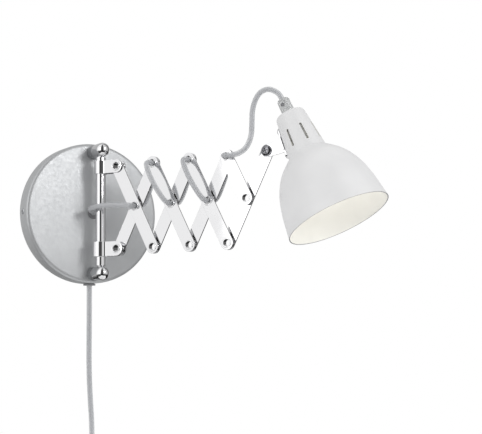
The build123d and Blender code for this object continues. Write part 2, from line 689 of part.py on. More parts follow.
def coil_path():
    """Down from the switch in a gentle S, round the half turns, and down into the plug."""
    corners = [Vector(*c) for c in coil_corners()]
    start = Vector(CORD_X, CORD_Y, SWITCH_TOP - SWITCH_LENGTH)
    lead = start + Vector(0, 0, -2 * MAINS_R)
    middle = (lead + corners[0]) * 0.5
    edges = [Line(start, lead)]
    edges.append(TangentArc(lead, middle, tangent=(0, 0, -1)))
    edges.append(TangentArc(middle, corners[0], tangent=edges[-1] % 1))
    going = -1
    for here, there in zip(corners, corners[1:]):
        reach = (there - here).length / 2
        top = (here + there) * 0.5 + Vector(0, 0, going * reach)
        edges.append(ThreePointArc(here, top, there))
        going = -going
    end = corners[-1] + Vector(0, 0, -2 * MAINS_R)
    edges.append(Line(corners[-1], end))
    return Wire(edges), end


def self_gap(path, radius, count=1500):
    """Least gap between turns, measured on points along the path."""
    spots = [path.position_at(i / count) for i in range(count + 1)]
    skip = int(8 * radius * count / path.length)
    least = min((spots[i] - spots[j]).length
                for i in range(0, count, 3) for j in range(i + skip, count, 2))
    return least - 2 * radius


def coil_tie():
    """A band round the coil's bundle of turns, at its lower left."""
    depth = (COIL_LAYERS - 1) * COIL_PITCH
    width = 1.25 * COIL_PITCH
    slack = 2 * MAINS_R + 1.8
    inner = RectangleRounded(width + slack, depth + slack, 3.2)
    outer = RectangleRounded(width + slack + 2.4, depth + slack + 2.4, 4.4)
    band = extrude(outer - inner, 4, both=True)
    spot = Location((COIL_X, CORD_Y - depth / 2, COIL_Z), (0, 135, 0))
    return spot * Pos(COIL_R - 0.75 * COIL_PITCH, 0, 0) * band


def switch_shells():
    """Two halves of the in-line switch, split in its middle plane."""
    outline = RectangleRounded(SWITCH_WIDTH, SWITCH_LENGTH, 9)
    body = extrude(Plane.XZ * outline, SWITCH_DEPTH / 2, both=True)
    for face in (0, -1):
        body = fillet(body.faces().sort_by(Axis.Y)[face].edges(), 3.5)
    room = RectangleRounded(SWITCH_WIDTH - 5, SWITCH_LENGTH - 22, 4)
    body -= extrude(Plane.XZ * room, SWITCH_DEPTH / 2 - 2.2, both=True)
    for side in (-1, 1):
        body += Pos(side * 8.2, -6.2, 0) * Box(3.4, 3.4, 5)
    body -= Pos(0, PIN_Y, 0) * Cylinder(1.0 + RUN, 19, rotation=(0, 90, 0))
    body -= extrude(Plane.XZ * RectangleRounded(12.4, 21, 1.5), SWITCH_DEPTH)
    for side in (-1, 1):
        body -= rod_z(MAINS_R + 0.05, side * (SWITCH_LENGTH / 2 - 7), side * SWITCH_LENGTH)
    half = SWITCH_DEPTH / 4 + 5
    front = body & (Pos(0, -half, 0) * Box(60, 2 * half, 100))
    back = body & (Pos(0, half, 0) * Box(60, 2 * half, 100))
    return Pos(CORD_X, CORD_Y, SWITCH_Z) * front, Pos(CORD_X, CORD_Y, SWITCH_Z) * back


def switch_rocker():
    """The rocker in the front shell, with the pin it turns on."""
    face = -SWITCH_DEPTH / 2
    outline = Polyline((face - 1.9, 9.2), (face + 0.3, 0), (face - 0.2, -9.2),
                       (face + 4, -8.6), (face + 4, 8.6), close=True)
    body = extrude(Plane.YZ * make_face(outline), 5.8, both=True)
    pin = Pos(0, PIN_Y, 0) * Cylinder(1.0, 18.6, rotation=(0, 90, 0))
    return Pos(CORD_X, CORD_Y, SWITCH_Z) * (body + pin)


def plug(end):
    """Flat moulded two-pin plug, hanging pins down from the coil's end."""
    x, y, z = end
    body = Pos(0, 0, -PLUG_SLEEVE / 2) * Cone(5.0, 3.6, PLUG_SLEEVE)
    for ring in range(4):
        level = -4.2 - 4.0 * ring
        body -= Pos(0, 0, level) * (Cylinder(9, 1.4) - Cylinder(3.15 + 0.25 * ring, 1.4))
    wide = PLUG_HALF
    outline = Polyline((-6, 0), (-wide, -12), (-wide, -30), (-14, -PLUG_BODY), (14, -PLUG_BODY),
                       (wide, -30), (wide, -12), (6, 0), close=True)
    block = extrude(Plane.XZ * make_face(outline), PLUG_THICK / 2, both=True)
    block = fillet(block.edges().filter_by(Axis.Y), 2.0)
    for face in (0, -1):
        block = fillet(block.faces().sort_by(Axis.Y)[face].edges(), 1.6)
    body += Pos(0, 0, -PLUG_SLEEVE + 1) * block
    tip = -PLUG_SLEEVE + 1 - PLUG_BODY
    pins = []
    end_of_sleeve = tip - PIN_LENGTH + PIN_TIP
    for side in (-1, 1):
        across = side * PIN_SPREAD
        pin = rod_z(2.0, end_of_sleeve, tip - PIN_LENGTH, x=across)
        pin = fillet(pin.edges().filter_by(GeomType.CIRCLE).sort_by(Axis.Z)[0], 1.2)
        pin += rod_z(1.3, tip + 7, end_of_sleeve, x=across)
        pins.append(Pos(x, y, z) * pin)
        body += rod_z(1.7, tip + 2, end_of_sleeve + SEAT, x=across)
        body -= rod_z(1.3 + SEAT, tip + 7, tip - PIN_LENGTH, x=across)
    return Pos(x, y, z) * body, pins


# ---- write the parts ----
os.makedirs("parts", exist_ok=True)

save("canopy", canopy())
save("wall_bracket", wall_bracket())
save("canopy_side_screws", *side_screws())
save("posts", post(POST_Z), post(-POST_Z))
save("post_caps", post_cap(POST_Z), post_cap(-POST_Z))
save("post_bolts", post_bolt(POST_Z), post_bolt(-POST_Z))
save("face_grommet", face_grommet())
save("mains_gland", mains_gland())
save("terminal_block", terminal_block())
save("inner_screws", *inner_screws())
save("cord_clamp", *cord_clamp())
save("inner_leads", *inner_leads())

save("rod", ARM * rod())
save("upper_clip", ARM * upper_clip())
save("lower_clip", ARM * lower_clip())
save("slide_bush", ARM * slide_bush())
for name, solids in {**clip_rivets(), **lattice()}.items():
    save(name, *[ARM * solid for solid in solids])
save("tilt_screw", ARM * tilt_screw())
save("tilt_nut", ARM * tilt_nut())

save("shade", HEAD * shade())
save("tilt_bracket", HEAD * tilt_bracket())
save("bracket_rivets", *[HEAD * solid for solid in bracket_rivets()])
save("cord_grip", HEAD * cord_grip())
save("grip_screw", HEAD * grip_screw())
save("nipple", HEAD * nipple())
save("lamp_holder", HEAD * lamp_holder())
save("holder_contacts", *[HEAD * solid for solid in holder_contacts()])
save("bulb_base", HEAD * bulb_base())
save("bulb_glass", HEAD * bulb_glass())

for name, solids in lamp_cord().items():
    save(name, *solids)

save("mains_drop", cord_along(DROP_ROUTE, MAINS_R, "mains_drop"))
winding, coil_end = coil_path()
coil = tube_along(winding, MAINS_R)
print(f"mains_coil: length {winding.length:.0f}, least gap {self_gap(winding, MAINS_R):.2f},"
      f" volume {coil.volume:.0f} of {math.pi * MAINS_R**2 * winding.length:.0f}")
save("mains_coil", coil)
save("coil_tie", coil_tie())
front_shell, back_shell = switch_shells()
save("switch_front", front_shell)
save("switch_back", back_shell)
save("switch_rocker", switch_rocker())
plug_body, plug_pins = plug(coil_end)
save("plug_body", plug_body)
save("plug_pins", *plug_pins)
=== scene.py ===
from math import acos, asin, atan, atan2, ceil, cos, degrees, exp, pi, radians, sin, tan

import bmesh
import bpy
from mathutils import Matrix, Vector

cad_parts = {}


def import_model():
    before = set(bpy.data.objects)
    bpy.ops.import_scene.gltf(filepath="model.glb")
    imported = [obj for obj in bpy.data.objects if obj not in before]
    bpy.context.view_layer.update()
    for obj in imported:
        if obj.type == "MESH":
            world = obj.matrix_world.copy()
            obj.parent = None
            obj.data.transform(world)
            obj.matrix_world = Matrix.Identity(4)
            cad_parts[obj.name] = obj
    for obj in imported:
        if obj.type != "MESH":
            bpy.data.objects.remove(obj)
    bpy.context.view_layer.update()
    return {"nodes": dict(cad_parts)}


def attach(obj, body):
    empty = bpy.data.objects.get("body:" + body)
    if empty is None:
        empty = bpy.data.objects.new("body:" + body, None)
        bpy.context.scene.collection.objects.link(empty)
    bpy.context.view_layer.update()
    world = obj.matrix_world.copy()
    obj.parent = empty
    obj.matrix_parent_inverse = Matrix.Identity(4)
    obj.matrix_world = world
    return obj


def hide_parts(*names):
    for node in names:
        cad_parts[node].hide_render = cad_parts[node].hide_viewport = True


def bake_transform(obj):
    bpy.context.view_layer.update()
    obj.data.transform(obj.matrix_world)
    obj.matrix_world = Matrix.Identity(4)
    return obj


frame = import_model()

# Accordion wall lamp. Shapes are written in millimetres in local frames and placed in metres.
MM = 0.001
IN_MM = Matrix.Scale(MM, 4)

# ---- camera, solved from the photograph ----
CAMERA_AT = (-0.5112, -1.1884, -0.1278)
YAW, PITCH, ROLL = 30.27, 5.53, -0.50
FOCAL_PX = 1274.5
PICTURE_W = 482

# ---- driving dimensions, as in the solids ----
CANOPY_R = 70.0
CANOPY_DEPTH = 19.5
CANOPY_WALL = 1.2
CANOPY_EDGE = 4.0        # round between the canopy's rim and its face
FACE_HOLE_R = 5.0        # hole in the canopy's face for the lamp cord
ROD_Y = 38.0
ROD_R = 5.0
POST_Z = 61.0
POST_R = 7.0
POST_JOINT = 30.0        # where each post's cap begins, from the wall
BALL_Y = 42.0
ARM_TURN = 59.7
PIVOT_OUT = 20.8
TOP_Z = 43.5
STRIP_PITCH = 90.96
STRIP_ANGLE = 63.0
STRIP_WIDTH = 13.0
STRIP_THICK = 1.4
LAYER_OUT = 2.3
LAYER_IN = LAYER_OUT - STRIP_THICK
HEAD_HOLE_SHIFT = 2.0
SHADE_TILT = 26.0
CORD_R = 2.5
MAINS_R = 2.65
RUN, SEAT = 0.05, 0.02   # radial clearance of what turns and of what is fixed
RIVET_R = 3.9
RIVET_BORE = 3.3
FLANGE_R = 4.7
FLANGE_T = 0.5
SHOULDER_R = 5.4
CLIP_THICK = 1.2
UPPER_HEIGHT = 13.0
LOWER_HEIGHT = 14.4
EAR_IN = 2.55
EAR_OUT = EAR_IN + CLIP_THICK
WRAP_OUT = 6.5
BUSH_R = 7.3
SLEEVE_OUT = 8.6
AXIS_OUT, AXIS_Z, AXIS_FRONT = 28.77, 73.0, 5.2
NECK_TOP = -3.5
NECK_TOP_R = 13.95
NECK_END, NECK_END_R = 37.8, 18.23
SHADE_END, RIM_R = 105.4, 48.0
BELL = ((41.8, 22.9), (51.3, 32.1), (64.8, 39.6), (81.7, 44.4))
SHADE_WALL = 1.0
SLOT_LENGTH, SLOT_WIDTH, SLOT_AT = 17.5, 2.3, 22.2
SLOT_TURNS = (-100, -50, 0, 50, 100)
BRACKET_AT = 18.0
BRACKET_T = 1.5
PLATE_HALF = 6.0
BRACKET_RIVETS = 11.5
SCREW_HEAD_R = 5.3
TAB_FRONT = PLATE_HALF - BRACKET_T - AXIS_FRONT
GRIP_R = 6.0
GRIP_FROM, GRIP_TO = 5.5, 18.7
BULB_R, BULB_AT = 22.5, 68.0
EXIT_Y = 10.5
SWITCH_TOP = -229.0
SWITCH_LENGTH, SWITCH_DEPTH = 60.0, 19.0
SWITCH_END_R = 12.5      # round ends of the switch
COIL_R, COIL_PITCH = 35.0, 6.8
COIL_LAYERS, HALVES_A_LAYER = 4, 3
COIL_SHIFT, COIL_BELOW = 17.0, 62.0
PLUG_FORWARD = 13.0
PIN_LENGTH, PIN_TIP = 19.0, 9.0

PSI = radians(STRIP_ANGLE)
STEP = STRIP_PITCH * cos(PSI)
DROP = STRIP_PITCH * sin(PSI)
CONE = atan((NECK_END_R - NECK_TOP_R) / NECK_END)


def turn(angle, axis):
    return Matrix.Rotation(radians(angle), 4, axis)


def shift(x, y, z):
    return Matrix.Translation((x, y, z))


def neck_r(station):
    return NECK_TOP_R + station * (NECK_END_R - NECK_TOP_R) / NECK_END


# local frames, in millimetres
ROW = Matrix.Identity(4)
WALL = turn(90, "X")                                   # local Z points into the room
ARM = shift(0, -ROD_Y, 0) @ turn(-ARM_TURN, "Z")       # X along the arm, -Y its front
HEAD = ARM @ shift(PIVOT_OUT + 4 * STEP + AXIS_OUT, -AXIS_FRONT, AXIS_Z) @ turn(-SHADE_TILT, "Y")
PLATE = HEAD @ shift(-neck_r(BRACKET_AT), 0, -BRACKET_AT) @ turn(180 + degrees(CONE), "Y")


def pivot(kind, k):
    """(x, z) of a pivot in the arm's frame: top t, centre c or bottom b, counted from the rod."""
    if kind == "t":
        return PIVOT_OUT + k * STEP, TOP_Z
    if kind == "b":
        return PIVOT_OUT + k * STEP, TOP_Z - DROP
    return PIVOT_OUT + (k - 0.5) * STEP, TOP_Z - DROP / 2


def head_pivot():
    x, z = pivot("t", 4)
    return x + HEAD_HOLE_SHIFT * cos(PSI), z + HEAD_HOLE_SHIFT * sin(PSI)


# ---- materials ----
def add_node(tree, kind, **inputs):
    """A shader node. Inputs are values or sockets, named with _ for a space."""
    node = tree.nodes.new("ShaderNode" + kind)
    for label, value in inputs.items():
        feed(tree, value, node.inputs[label.replace("_", " ")])
    return node


def feed(tree, value, socket):
    """Sets a socket to a value, or links it to another socket."""
    if isinstance(value, bpy.types.NodeSocket):
        tree.links.new(value, socket)
    else:
        socket.default_value = value


def ramp_node(tree, source, stops):
    """A colour ramp of (position, colour) stops over a value from 0 to 1."""
    ramp = add_node(tree, "ValToRGB", Fac=source)
    elements = ramp.color_ramp.elements
    elements.remove(elements[1])
    elements[0].position = stops[0][0]
    elements[0].color = (*stops[0][1], 1)
    for position, color in stops[1:]:
        elements.new(position).color = (*color, 1)
    return ramp.outputs["Color"]


def principled(material, label, value):
    """Sets or links an input of the material's shader."""
    tree = material.node_tree
    feed(tree, value, tree.nodes["Principled BSDF"].inputs[label.replace("_", " ")])


def shader(name, color, rough, metal=0.0, **sockets):
    """A Principled material; sockets are named with _ for a space."""
    material = bpy.data.materials.new(name)
    material.use_nodes = True
    values = {"Base_Color": (*color, 1), "Metallic": metal, "Roughness": rough, **sockets}
    for label, value in values.items():
        principled(material, label, value)
    return material


def add_noise(material, scale, stretch=(1, 1, 1), detail=3.0):
    """The strength of a noise texture on object coordinates."""
    tree = material.node_tree
    place = add_node(tree, "TexCoord").outputs["Object"]
    size = add_node(tree, "Mapping", Vector=place, Scale=stretch)
    noise = add_node(tree, "TexNoise", Vector=size.outputs["Vector"], Scale=scale, Detail=detail)
    return noise.outputs["Fac"]


NOISE_LOW, NOISE_HIGH = 0.3, 0.7     # the part of a noise that a value or a colour spreads over


def vary(material, noise, label, low, high):
    """Lets a noise move a shader value between low and high."""
    spread = add_node(material.node_tree, "MapRange", Value=noise, From_Min=NOISE_LOW,
                      From_Max=NOISE_HIGH, To_Min=low, To_Max=high)
    principled(material, label, spread.outputs["Result"])


def tint(material, noise, low, high):
    """Lets a noise move the colour between two tones."""
    color = ramp_node(material.node_tree, noise, ((NOISE_LOW, low), (NOISE_HIGH, high)))
    principled(material, "Base_Color", color)


def bump(material, noise, strength, depth):
    node = add_node(material.node_tree, "Bump", Height=noise, Strength=strength, Distance=depth)
    principled(material, "Normal", node.outputs["Normal"])


def chrome():
    material = shader("bright_chrome", (0.90, 0.90, 0.91), 0.05, 1.0)
    vary(material, add_noise(material, 60), "Roughness", 0.035, 0.075)
    bump(material, add_noise(material, 18, detail=2), 0.06, 0.0004)
    return material


def satin_steel(name, color, rough):
    material = shader(name, color, rough, 1.0)
    vary(material, add_noise(material, 900, (1, 1, 0.06)), "Roughness", rough - 0.08, rough + 0.1)
    bump(material, add_noise(material, 1200, (1, 1, 0.08)), 0.10, 0.00005)
    return material


def lacquer(name, low, high, rough, metal=0.0, **sockets):
    """Sprayed lacquer: a fine orange peel and a slight tone change."""
    material = shader(name, high, rough, metal, **sockets)
    tint(material, add_noise(material, 35), low, high)
    vary(material, add_noise(material, 300), "Roughness", rough - 0.03, rough + 0.05)
    bump(material, add_noise(material, 900, detail=1.5), 0.05, 0.00008)
    return material


def moulded(name, low, high, rough):
    """Moulded plastic with a fine spark-eroded grain."""
    material = shader(name, high, rough)
    tint(material, add_noise(material, 60), low, high)
    vary(material, add_noise(material, 700), "Roughness", rough - 0.05, rough + 0.07)
    bump(material, add_noise(material, 2600, detail=4), 0.12, 0.00008)
    return material


def clear_sheath():
    material = shader("clear_sheath", (0.66, 0.67, 0.69), 0.28, Alpha=0.55)
    vary(material, add_noise(material, 400), "Roughness", 0.24, 0.34)
    material.surface_render_method = "BLENDED"
    return material


def silver_core():
    material = shader("silver_core", (0.60, 0.61, 0.63), 0.45, 0.35)
    strands = add_noise(material, 1500, detail=2)
    tint(material, strands, (0.56, 0.57, 0.59), (0.64, 0.65, 0.67))
    bump(material, strands, 0.05, 0.0001)
    return material


def clear_grip():
    material = shader("clear_grip", (0.90, 0.91, 0.91), 0.18, Transmission_Weight=0.6, IOR=1.45)
    vary(material, add_noise(material, 350), "Roughness", 0.12, 0.28)
    bump(material, add_noise(material, 240), 0.10, 0.0002)
    return material


def lit_opal():
    material = shader("opal_glass", (0.97, 0.97, 0.96), 0.25)
    principled(material, "Emission_Color", (1.0, 0.985, 0.95, 1))
    principled(material, "Emission_Strength", 1.0)
    vary(material, add_noise(material, 80), "Roughness", 0.20, 0.32)
    return material


CHROME = chrome()
SILVER_PAINT = lacquer("silver_lacquer", (0.52, 0.53, 0.54), (0.57, 0.58, 0.59), 0.42, 0.55)
POST_PAINT = lacquer("post_lacquer", (0.36, 0.37, 0.38), (0.42, 0.43, 0.44), 0.30, 0.8)
SHADE_PAINT = lacquer("shade_lacquer", (0.80, 0.80, 0.805), (0.84, 0.84, 0.845), 0.36, 0.0, Coat_Weight=0.15)
# dark grey for the shade's rim face: painted shade, the grey line that the grazed rim shows
RIM_PAINTED_SHADE = lacquer("shade_rim_painted_shade", (0.34, 0.34, 0.345), (0.38, 0.38, 0.385), 0.40)
# inside of the shade: its white paint, with a warm cream tint that is painted lamplight from the lit bulb
SHADE_INSIDE_PAINT_AND_LAMPLIGHT = lacquer("shade_inside_paint_and_lamplight", (0.88, 0.87, 0.83), (0.92, 0.91, 0.87), 0.45)
ZINC = satin_steel("zinc_steel", (0.60, 0.61, 0.63), 0.34)
DARK_STEEL = satin_steel("dark_steel", (0.18, 0.18, 0.19), 0.30)
SCREW_STEEL = satin_steel("screw_steel", (0.34, 0.34, 0.36), 0.16)
BRASS = satin_steel("contact_brass", (0.72, 0.55, 0.28), 0.26)
PIN_NICKEL = satin_steel("pin_nickel", (0.72, 0.70, 0.66), 0.22)
BULB_CAP = satin_steel("bulb_cap", (0.70, 0.70, 0.71), 0.28)
WHITE_PLASTIC = moulded("white_plastic", (0.74, 0.74, 0.73), (0.80, 0.80, 0.79), 0.42)
GREY_PLASTIC = moulded("grey_plastic", (0.20, 0.20, 0.21), (0.27, 0.27, 0.28), 0.5)
PALE_PLASTIC = moulded("pale_plastic", (0.52, 0.53, 0.54), (0.60, 0.61, 0.62), 0.42)
SHEATH = clear_sheath()
CORE = silver_core()
GRIP = clear_grip()
OPAL = lit_opal()


# ---- mesh helpers ----
def finish_mesh(mesh, sharp):
    mesh.shade_smooth()
    mesh.set_sharp_from_angle(angle=radians(sharp))


def into_scene(name, data):
    obj = bpy.data.objects.new(name, data)
    bpy.context.scene.collection.objects.link(obj)
    return obj


def placed(name, source, place):
    """A mesh or bmesh in a local frame becomes an object in metres."""
    mesh = source
    if isinstance(source, bmesh.types.BMesh):
        mesh = bpy.data.meshes.new(name)
        source.to_mesh(mesh)
        source.free()
    mesh.name = name
    mesh.transform(IN_MM @ place)
    return into_scene(name, mesh)


def piece(name, source, place, material, body, nodes=(), sharp=35):
    """An object with its material, which rides a body and may replace CAD nodes."""
    obj = placed(name, source, place)
    obj.data.materials.clear()
    obj.data.materials.append(material)
    finish_mesh(obj.data, sharp)
    if body:
        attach(obj, body)
    if nodes:
        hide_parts(*nodes)
    return obj


def soften(points, radius, closed=False, steps=4):
    """The same outline with its corners rounded off."""
    count = len(points)
    rounded = []
    for i, corner in enumerate(points):
        if not closed and i in (0, count - 1):
            rounded.append(tuple(corner))
            continue
        here = Vector(corner)
        back = Vector(points[i - 1]) - here
        ahead = Vector(points[(i + 1) % count]) - here
        half = back.angle(ahead) / 2
        if half > radians(86):
            rounded.append(tuple(corner))
            continue
        reach = min(radius / tan(half), 0.45 * back.length, 0.45 * ahead.length)
        first = here + back.normalized() * reach
        last = here + ahead.normalized() * reach
        for j in range(steps + 1):
            t = j / steps
            rounded.append(tuple(first * (1 - t) ** 2 + here * (2 * t * (1 - t)) + last * t * t))
    return rounded


def lathe(profile, steps=96, closed=False):
    """A surface turned about Z from (radius, height) points; closed joins the last to the first."""
    bm = bmesh.new()
    rings = []
    for r, z in profile:
        if r < 1e-6:
            rings.append([bm.verts.new((0, 0, z))])
            continue
        angles = [2 * pi * i / steps for i in range(steps)]
        rings.append([bm.verts.new((r * cos(a), r * sin(a), z)) for a in angles])
    pairs = list(zip(rings, rings[1:]))
    if closed:
        pairs.append((rings[-1], rings[0]))
    for a, b in pairs:
        for i in range(steps):
            j = (i + 1) % steps
            corners = [a[i % len(a)], a[j % len(a)], b[j % len(b)], b[i % len(b)]]
            corners = list(dict.fromkeys(corners))
            if len(corners) > 2:
                bm.faces.new(corners)
    bmesh.ops.recalc_face_normals(bm, faces=bm.faces)
    return bm


def turned(profile, corner, steps=48, closed=False, corner_steps=4):
    """A solid, or from a closed outline a ring, turned from an outline with rounded corners."""
    return lathe(soften(profile, corner, closed, corner_steps), steps, closed)


def circle(x, y, r, count=40):
    angles = [2 * pi * i / count for i in range(count)]
    return [(x + r * cos(a), y + r * sin(a)) for a in angles]


def arc(x, y, r, start, end, count=20):
    """Points on an arc between two angles in degrees."""
    angles = [radians(start + (end - start) * i / count) for i in range(count + 1)]
    return [(x + r * cos(a), y + r * sin(a)) for a in angles]


def bar_outline(start, end, r):
    """A straight bar's outline with round ends about two points."""
    heading = degrees(atan2(end[1] - start[1], end[0] - start[0]))
    return arc(*end, r, heading - 90, heading + 90) + arc(*start, r, heading + 90, heading + 270)


def mesh_of(curve):
    """The mesh that a curve makes; the curve is deleted."""
    holder = bpy.data.objects.new("curve", curve)
    mesh = bpy.data.meshes.new_from_object(holder)
    bpy.data.objects.remove(holder)
    bpy.data.curves.remove(curve)
    return mesh


def plate(outline, holes, thick, edge):
    """A flat plate in the XY plane, centred on it, with rounded edges and round holes."""
    curve = bpy.data.curves.new("outline", "CURVE")
    curve.dimensions = "2D"
    curve.fill_mode = "BOTH"
    for loop in (outline, *holes):
        spline = curve.splines.new("POLY")
        spline.points.add(len(loop) - 1)
        for point, (x, y) in zip(spline.points, loop):
            point.co = (x, y, 0, 1)
        spline.use_cyclic_u = True
    curve.extrude = thick / 2 - edge
    curve.bevel_depth = edge
    curve.bevel_resolution = 2
    curve.offset = -edge
    return mesh_of(curve)


def as_bmesh(mesh):
    bm = bmesh.new()
    bm.from_mesh(mesh)
    bpy.data.meshes.remove(mesh)
    bmesh.ops.remove_doubles(bm, verts=bm.verts, dist=1e-4)
    return bm


def bend(bm, spine):
    """Wraps a flat plate in XY round a spine of (x, y) points: its X runs along the spine, its Y goes
    to Z, and its Z to the spine's left."""
    spine = [Vector(p) for p in spine]
    stations = [0.0]
    for a, b in zip(spine, spine[1:]):
        stations.append(stations[-1] + (b - a).length)
    for station in stations[1:-1]:
        geometry = bm.verts[:] + bm.edges[:] + bm.faces[:]
        bmesh.ops.bisect_plane(bm, geom=geometry, plane_co=(station, 0, 0), plane_no=(1, 0, 0))
    tangents = []
    for i in range(len(spine)):
        ahead = spine[min(i + 1, len(spine) - 1)] - spine[max(i - 1, 0)]
        tangents.append(ahead.normalized())
    for vert in bm.verts:
        s = min(max(vert.co.x, 0.0), stations[-1] - 1e-6)
        i = max(j for j in range(len(stations)) if stations[j] <= s)
        t = (s - stations[i]) / (stations[i + 1] - stations[i])
        point = spine[i].lerp(spine[i + 1], t)
        along = tangents[i].lerp(tangents[i + 1], t).normalized()
        over = vert.co.x - s
        left = Vector((-along.y, along.x))
        flat = point + along * over + left * vert.co.z
        vert.co = (flat.x, flat.y, vert.co.y)
    bmesh.ops.recalc_face_normals(bm, faces=bm.faces)
    return bm


def cut(obj, sharp, *cutters):
    """Subtracts closed meshes from an object, deletes them and shades the result."""
    for cutter in cutters:
        change = obj.modifiers.new("cut", "BOOLEAN")
        change.operation = "DIFFERENCE"
        change.solver = "EXACT"
        change.object = cutter
    bpy.context.view_layer.update()
    graph = bpy.context.evaluated_depsgraph_get()
    mesh = bpy.data.meshes.new_from_object(obj.evaluated_get(graph))
    obj.modifiers.clear()
    old = obj.data
    obj.data = mesh
    bpy.data.meshes.remove(old)
    for cutter in cutters:
        bpy.data.objects.remove(cutter)
    finish_mesh(mesh, sharp)


def cutter_from(source, place):
    return placed("cutter", source, place)


def block(x0, x1, y0, y1, z0, z1):
    """A closed box between two corners."""
    bm = bmesh.new()
    bmesh.ops.create_cube(bm, size=1)
    bmesh.ops.scale(bm, vec=(x1 - x0, y1 - y0, z1 - z0), verts=bm.verts)
    bmesh.ops.translate(bm, vec=((x0 + x1) / 2, (y0 + y1) / 2, (z0 + z1) / 2), verts=bm.verts)
    return bm


def rounded_rectangle(width, height, r, steps=6):
    outline = []
    for sx, sy, start in ((1, 1, 0), (-1, 1, 90), (-1, -1, 180), (1, -1, 270)):
        outline += arc(sx * (width / 2 - r), sy * (height / 2 - r), r, start, start + 90, steps)
    return outline


# ---- wall side ----
def canopy():
    face = CANOPY_DEPTH
    outer = [(CANOPY_R - 0.6, 0), (CANOPY_R, 0.6), (CANOPY_R, face), (FACE_HOLE_R, face)]
    outer = soften(outer, CANOPY_EDGE, steps=10)
    wall = CANOPY_R - CANOPY_WALL
    inner = [(FACE_HOLE_R, face - CANOPY_WALL), (wall, face - CANOPY_WALL), (wall, 0)]
    inner = soften(inner, CANOPY_EDGE - CANOPY_WALL, steps=6)
    shell = lathe(outer + inner, 192, closed=True)
    piece("canopy_shell", shell, WALL, SILVER_PAINT, "base", ["canopy"], 30)


def side_screws():
    profile = [(0, 0.6), (2.0, 0.6), (3.0, 0.1), (3.0, -0.6), (0, -0.6)]
    for side in (-1, 1):
        place = shift(side * CANOPY_R, -9, 0) @ turn(side * 90, "Y")
        name = "canopy_screw_left" if side < 0 else "canopy_screw_right"
        obj = piece(name, turned(profile, 0.4, 32), place, ZINC, "base", [])
        socket = lathe([(0, 1.6), (1.25, 1.6), (1.25, -0.2), (0, -0.2)], 6)
        cut(obj, 30, cutter_from(socket, place))
        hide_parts("canopy_side_screws")


def posts():
    profile = [(0, CANOPY_DEPTH), (POST_R, CANOPY_DEPTH), (POST_R, POST_JOINT), (0, POST_JOINT)]
    for level, label in ((POST_Z, "upper"), (-POST_Z, "lower")):
        obj = piece(f"{label}_post", turned(profile, 0.5, 64), WALL @ shift(0, level, 0), POST_PAINT,
                    "base", ["posts"])
        cap = [(0, POST_JOINT + 0.2), (POST_R - 0.6, POST_JOINT + 0.2), (POST_R, POST_JOINT + 0.8)]
        cap += arc(0, BALL_Y, POST_R, 0, 85, 17) + [(0, BALL_Y + POST_R)]
        cap = lathe(cap, 64)
        obj = piece(f"{label}_post_cap_ball", cap, WALL @ shift(0, level, 0), CHROME,
                    "base", ["post_caps"])
        side = 1 if level > 0 else -1
        bore = lathe([(0, -side * 9), (3.1, -side * 9), (3.1, side * 1.5), (0, side * 1.5)], 32)
        cut(obj, 35, cutter_from(bore, shift(0, -ROD_Y, level)))


def rod():
    end = POST_Z - POST_R - 0.2
    tip = POST_Z + 1.2
    profile = [(0, -tip), (3, -tip), (3, -end), (ROD_R, -end), (ROD_R, end), (3, end), (3, tip), (0, tip)]
    piece("swivel_rod", turned(profile, 0.5, 64), ARM, CHROME, "swivel", ["rod"])


def grommet():
    """Soft ring in the canopy's face, thin outside, where the lamp cord leaves."""
    face = CANOPY_DEPTH
    inside = face - CANOPY_WALL
    profile = [(CORD_R + 0.1, face - 2.5), (6.0, face - 2.5), (6.0, inside), (4.8, inside),
               (4.8, face), (6.0, face), (6.0, face + 1.0), (CORD_R + 0.1, face + 0.7)]
    piece("face_grommet_ring", turned(profile, 0.4, closed=True), WALL, GREY_PLASTIC, "base",
          ["face_grommet"])


def gland():
    """Cord gland in the canopy's lower rim: only its thin flange shows."""
    wall = -CANOPY_R
    profile = [(MAINS_R + 0.1, wall + 4.4), (5, wall + 4.4), (5, wall - 0.4), (6.1, wall - 0.5),
               (6.1, wall - 1.9), (MAINS_R + 0.1, wall - 1.9)]
    piece("mains_gland_ring", turned(profile, 0.35, closed=True), shift(0, -EXIT_Y, 0), GREY_PLASTIC, "base",
          ["mains_gland"])


# ---- clips on the rod ----
def clip(name, mid, height, z, body, node):
    """A sheet clip: a blank with round ends and eyelet holes, wrapped round the rod, its ears pinched in."""
    ear_y = (EAR_IN + EAR_OUT) / 2
    r = height / 2
    join = degrees(acos(ear_y / mid))
    x = mid * sin(radians(join))
    front = [(PIVOT_OUT + r, -ear_y), (x + 1.3, -ear_y), (x + 0.6, -ear_y - 0.14)]
    wrap = arc(0, 0, mid, join - 99, -join - 261, 48)
    spine = dense(front + wrap + [(x, -y) for x, y in reversed(front)], 3.0)
    total = sum((Vector(b) - Vector(a)).length for a, b in zip(spine, spine[1:]))
    outline = arc(total - r, 0, r, -90, 90) + [(total - r - 1, r), (r + 1, r)]
    outline += arc(r, 0, r, 90, 270) + [(r + 1, -r), (total - r - 1, -r)]
    holes = [circle(r, 0, RIVET_R + SEAT), circle(total - r, 0, RIVET_R + SEAT)]
    blank = as_bmesh(plate(outline, holes, CLIP_THICK, 0.18))
    piece(name, bend(blank, spine), ARM @ shift(0, 0, z), CHROME, body, [node], 40)


def dense(points, most):
    """The same line with no gap longer than most."""
    filled = [points[0]]
    for a, b in zip(points, points[1:]):
        a, b = Vector(a), Vector(b)
        count = max(1, ceil((b - a).length / most))
        filled += [tuple(a.lerp(b, i / count)) for i in range(1, count + 1)]
    return filled


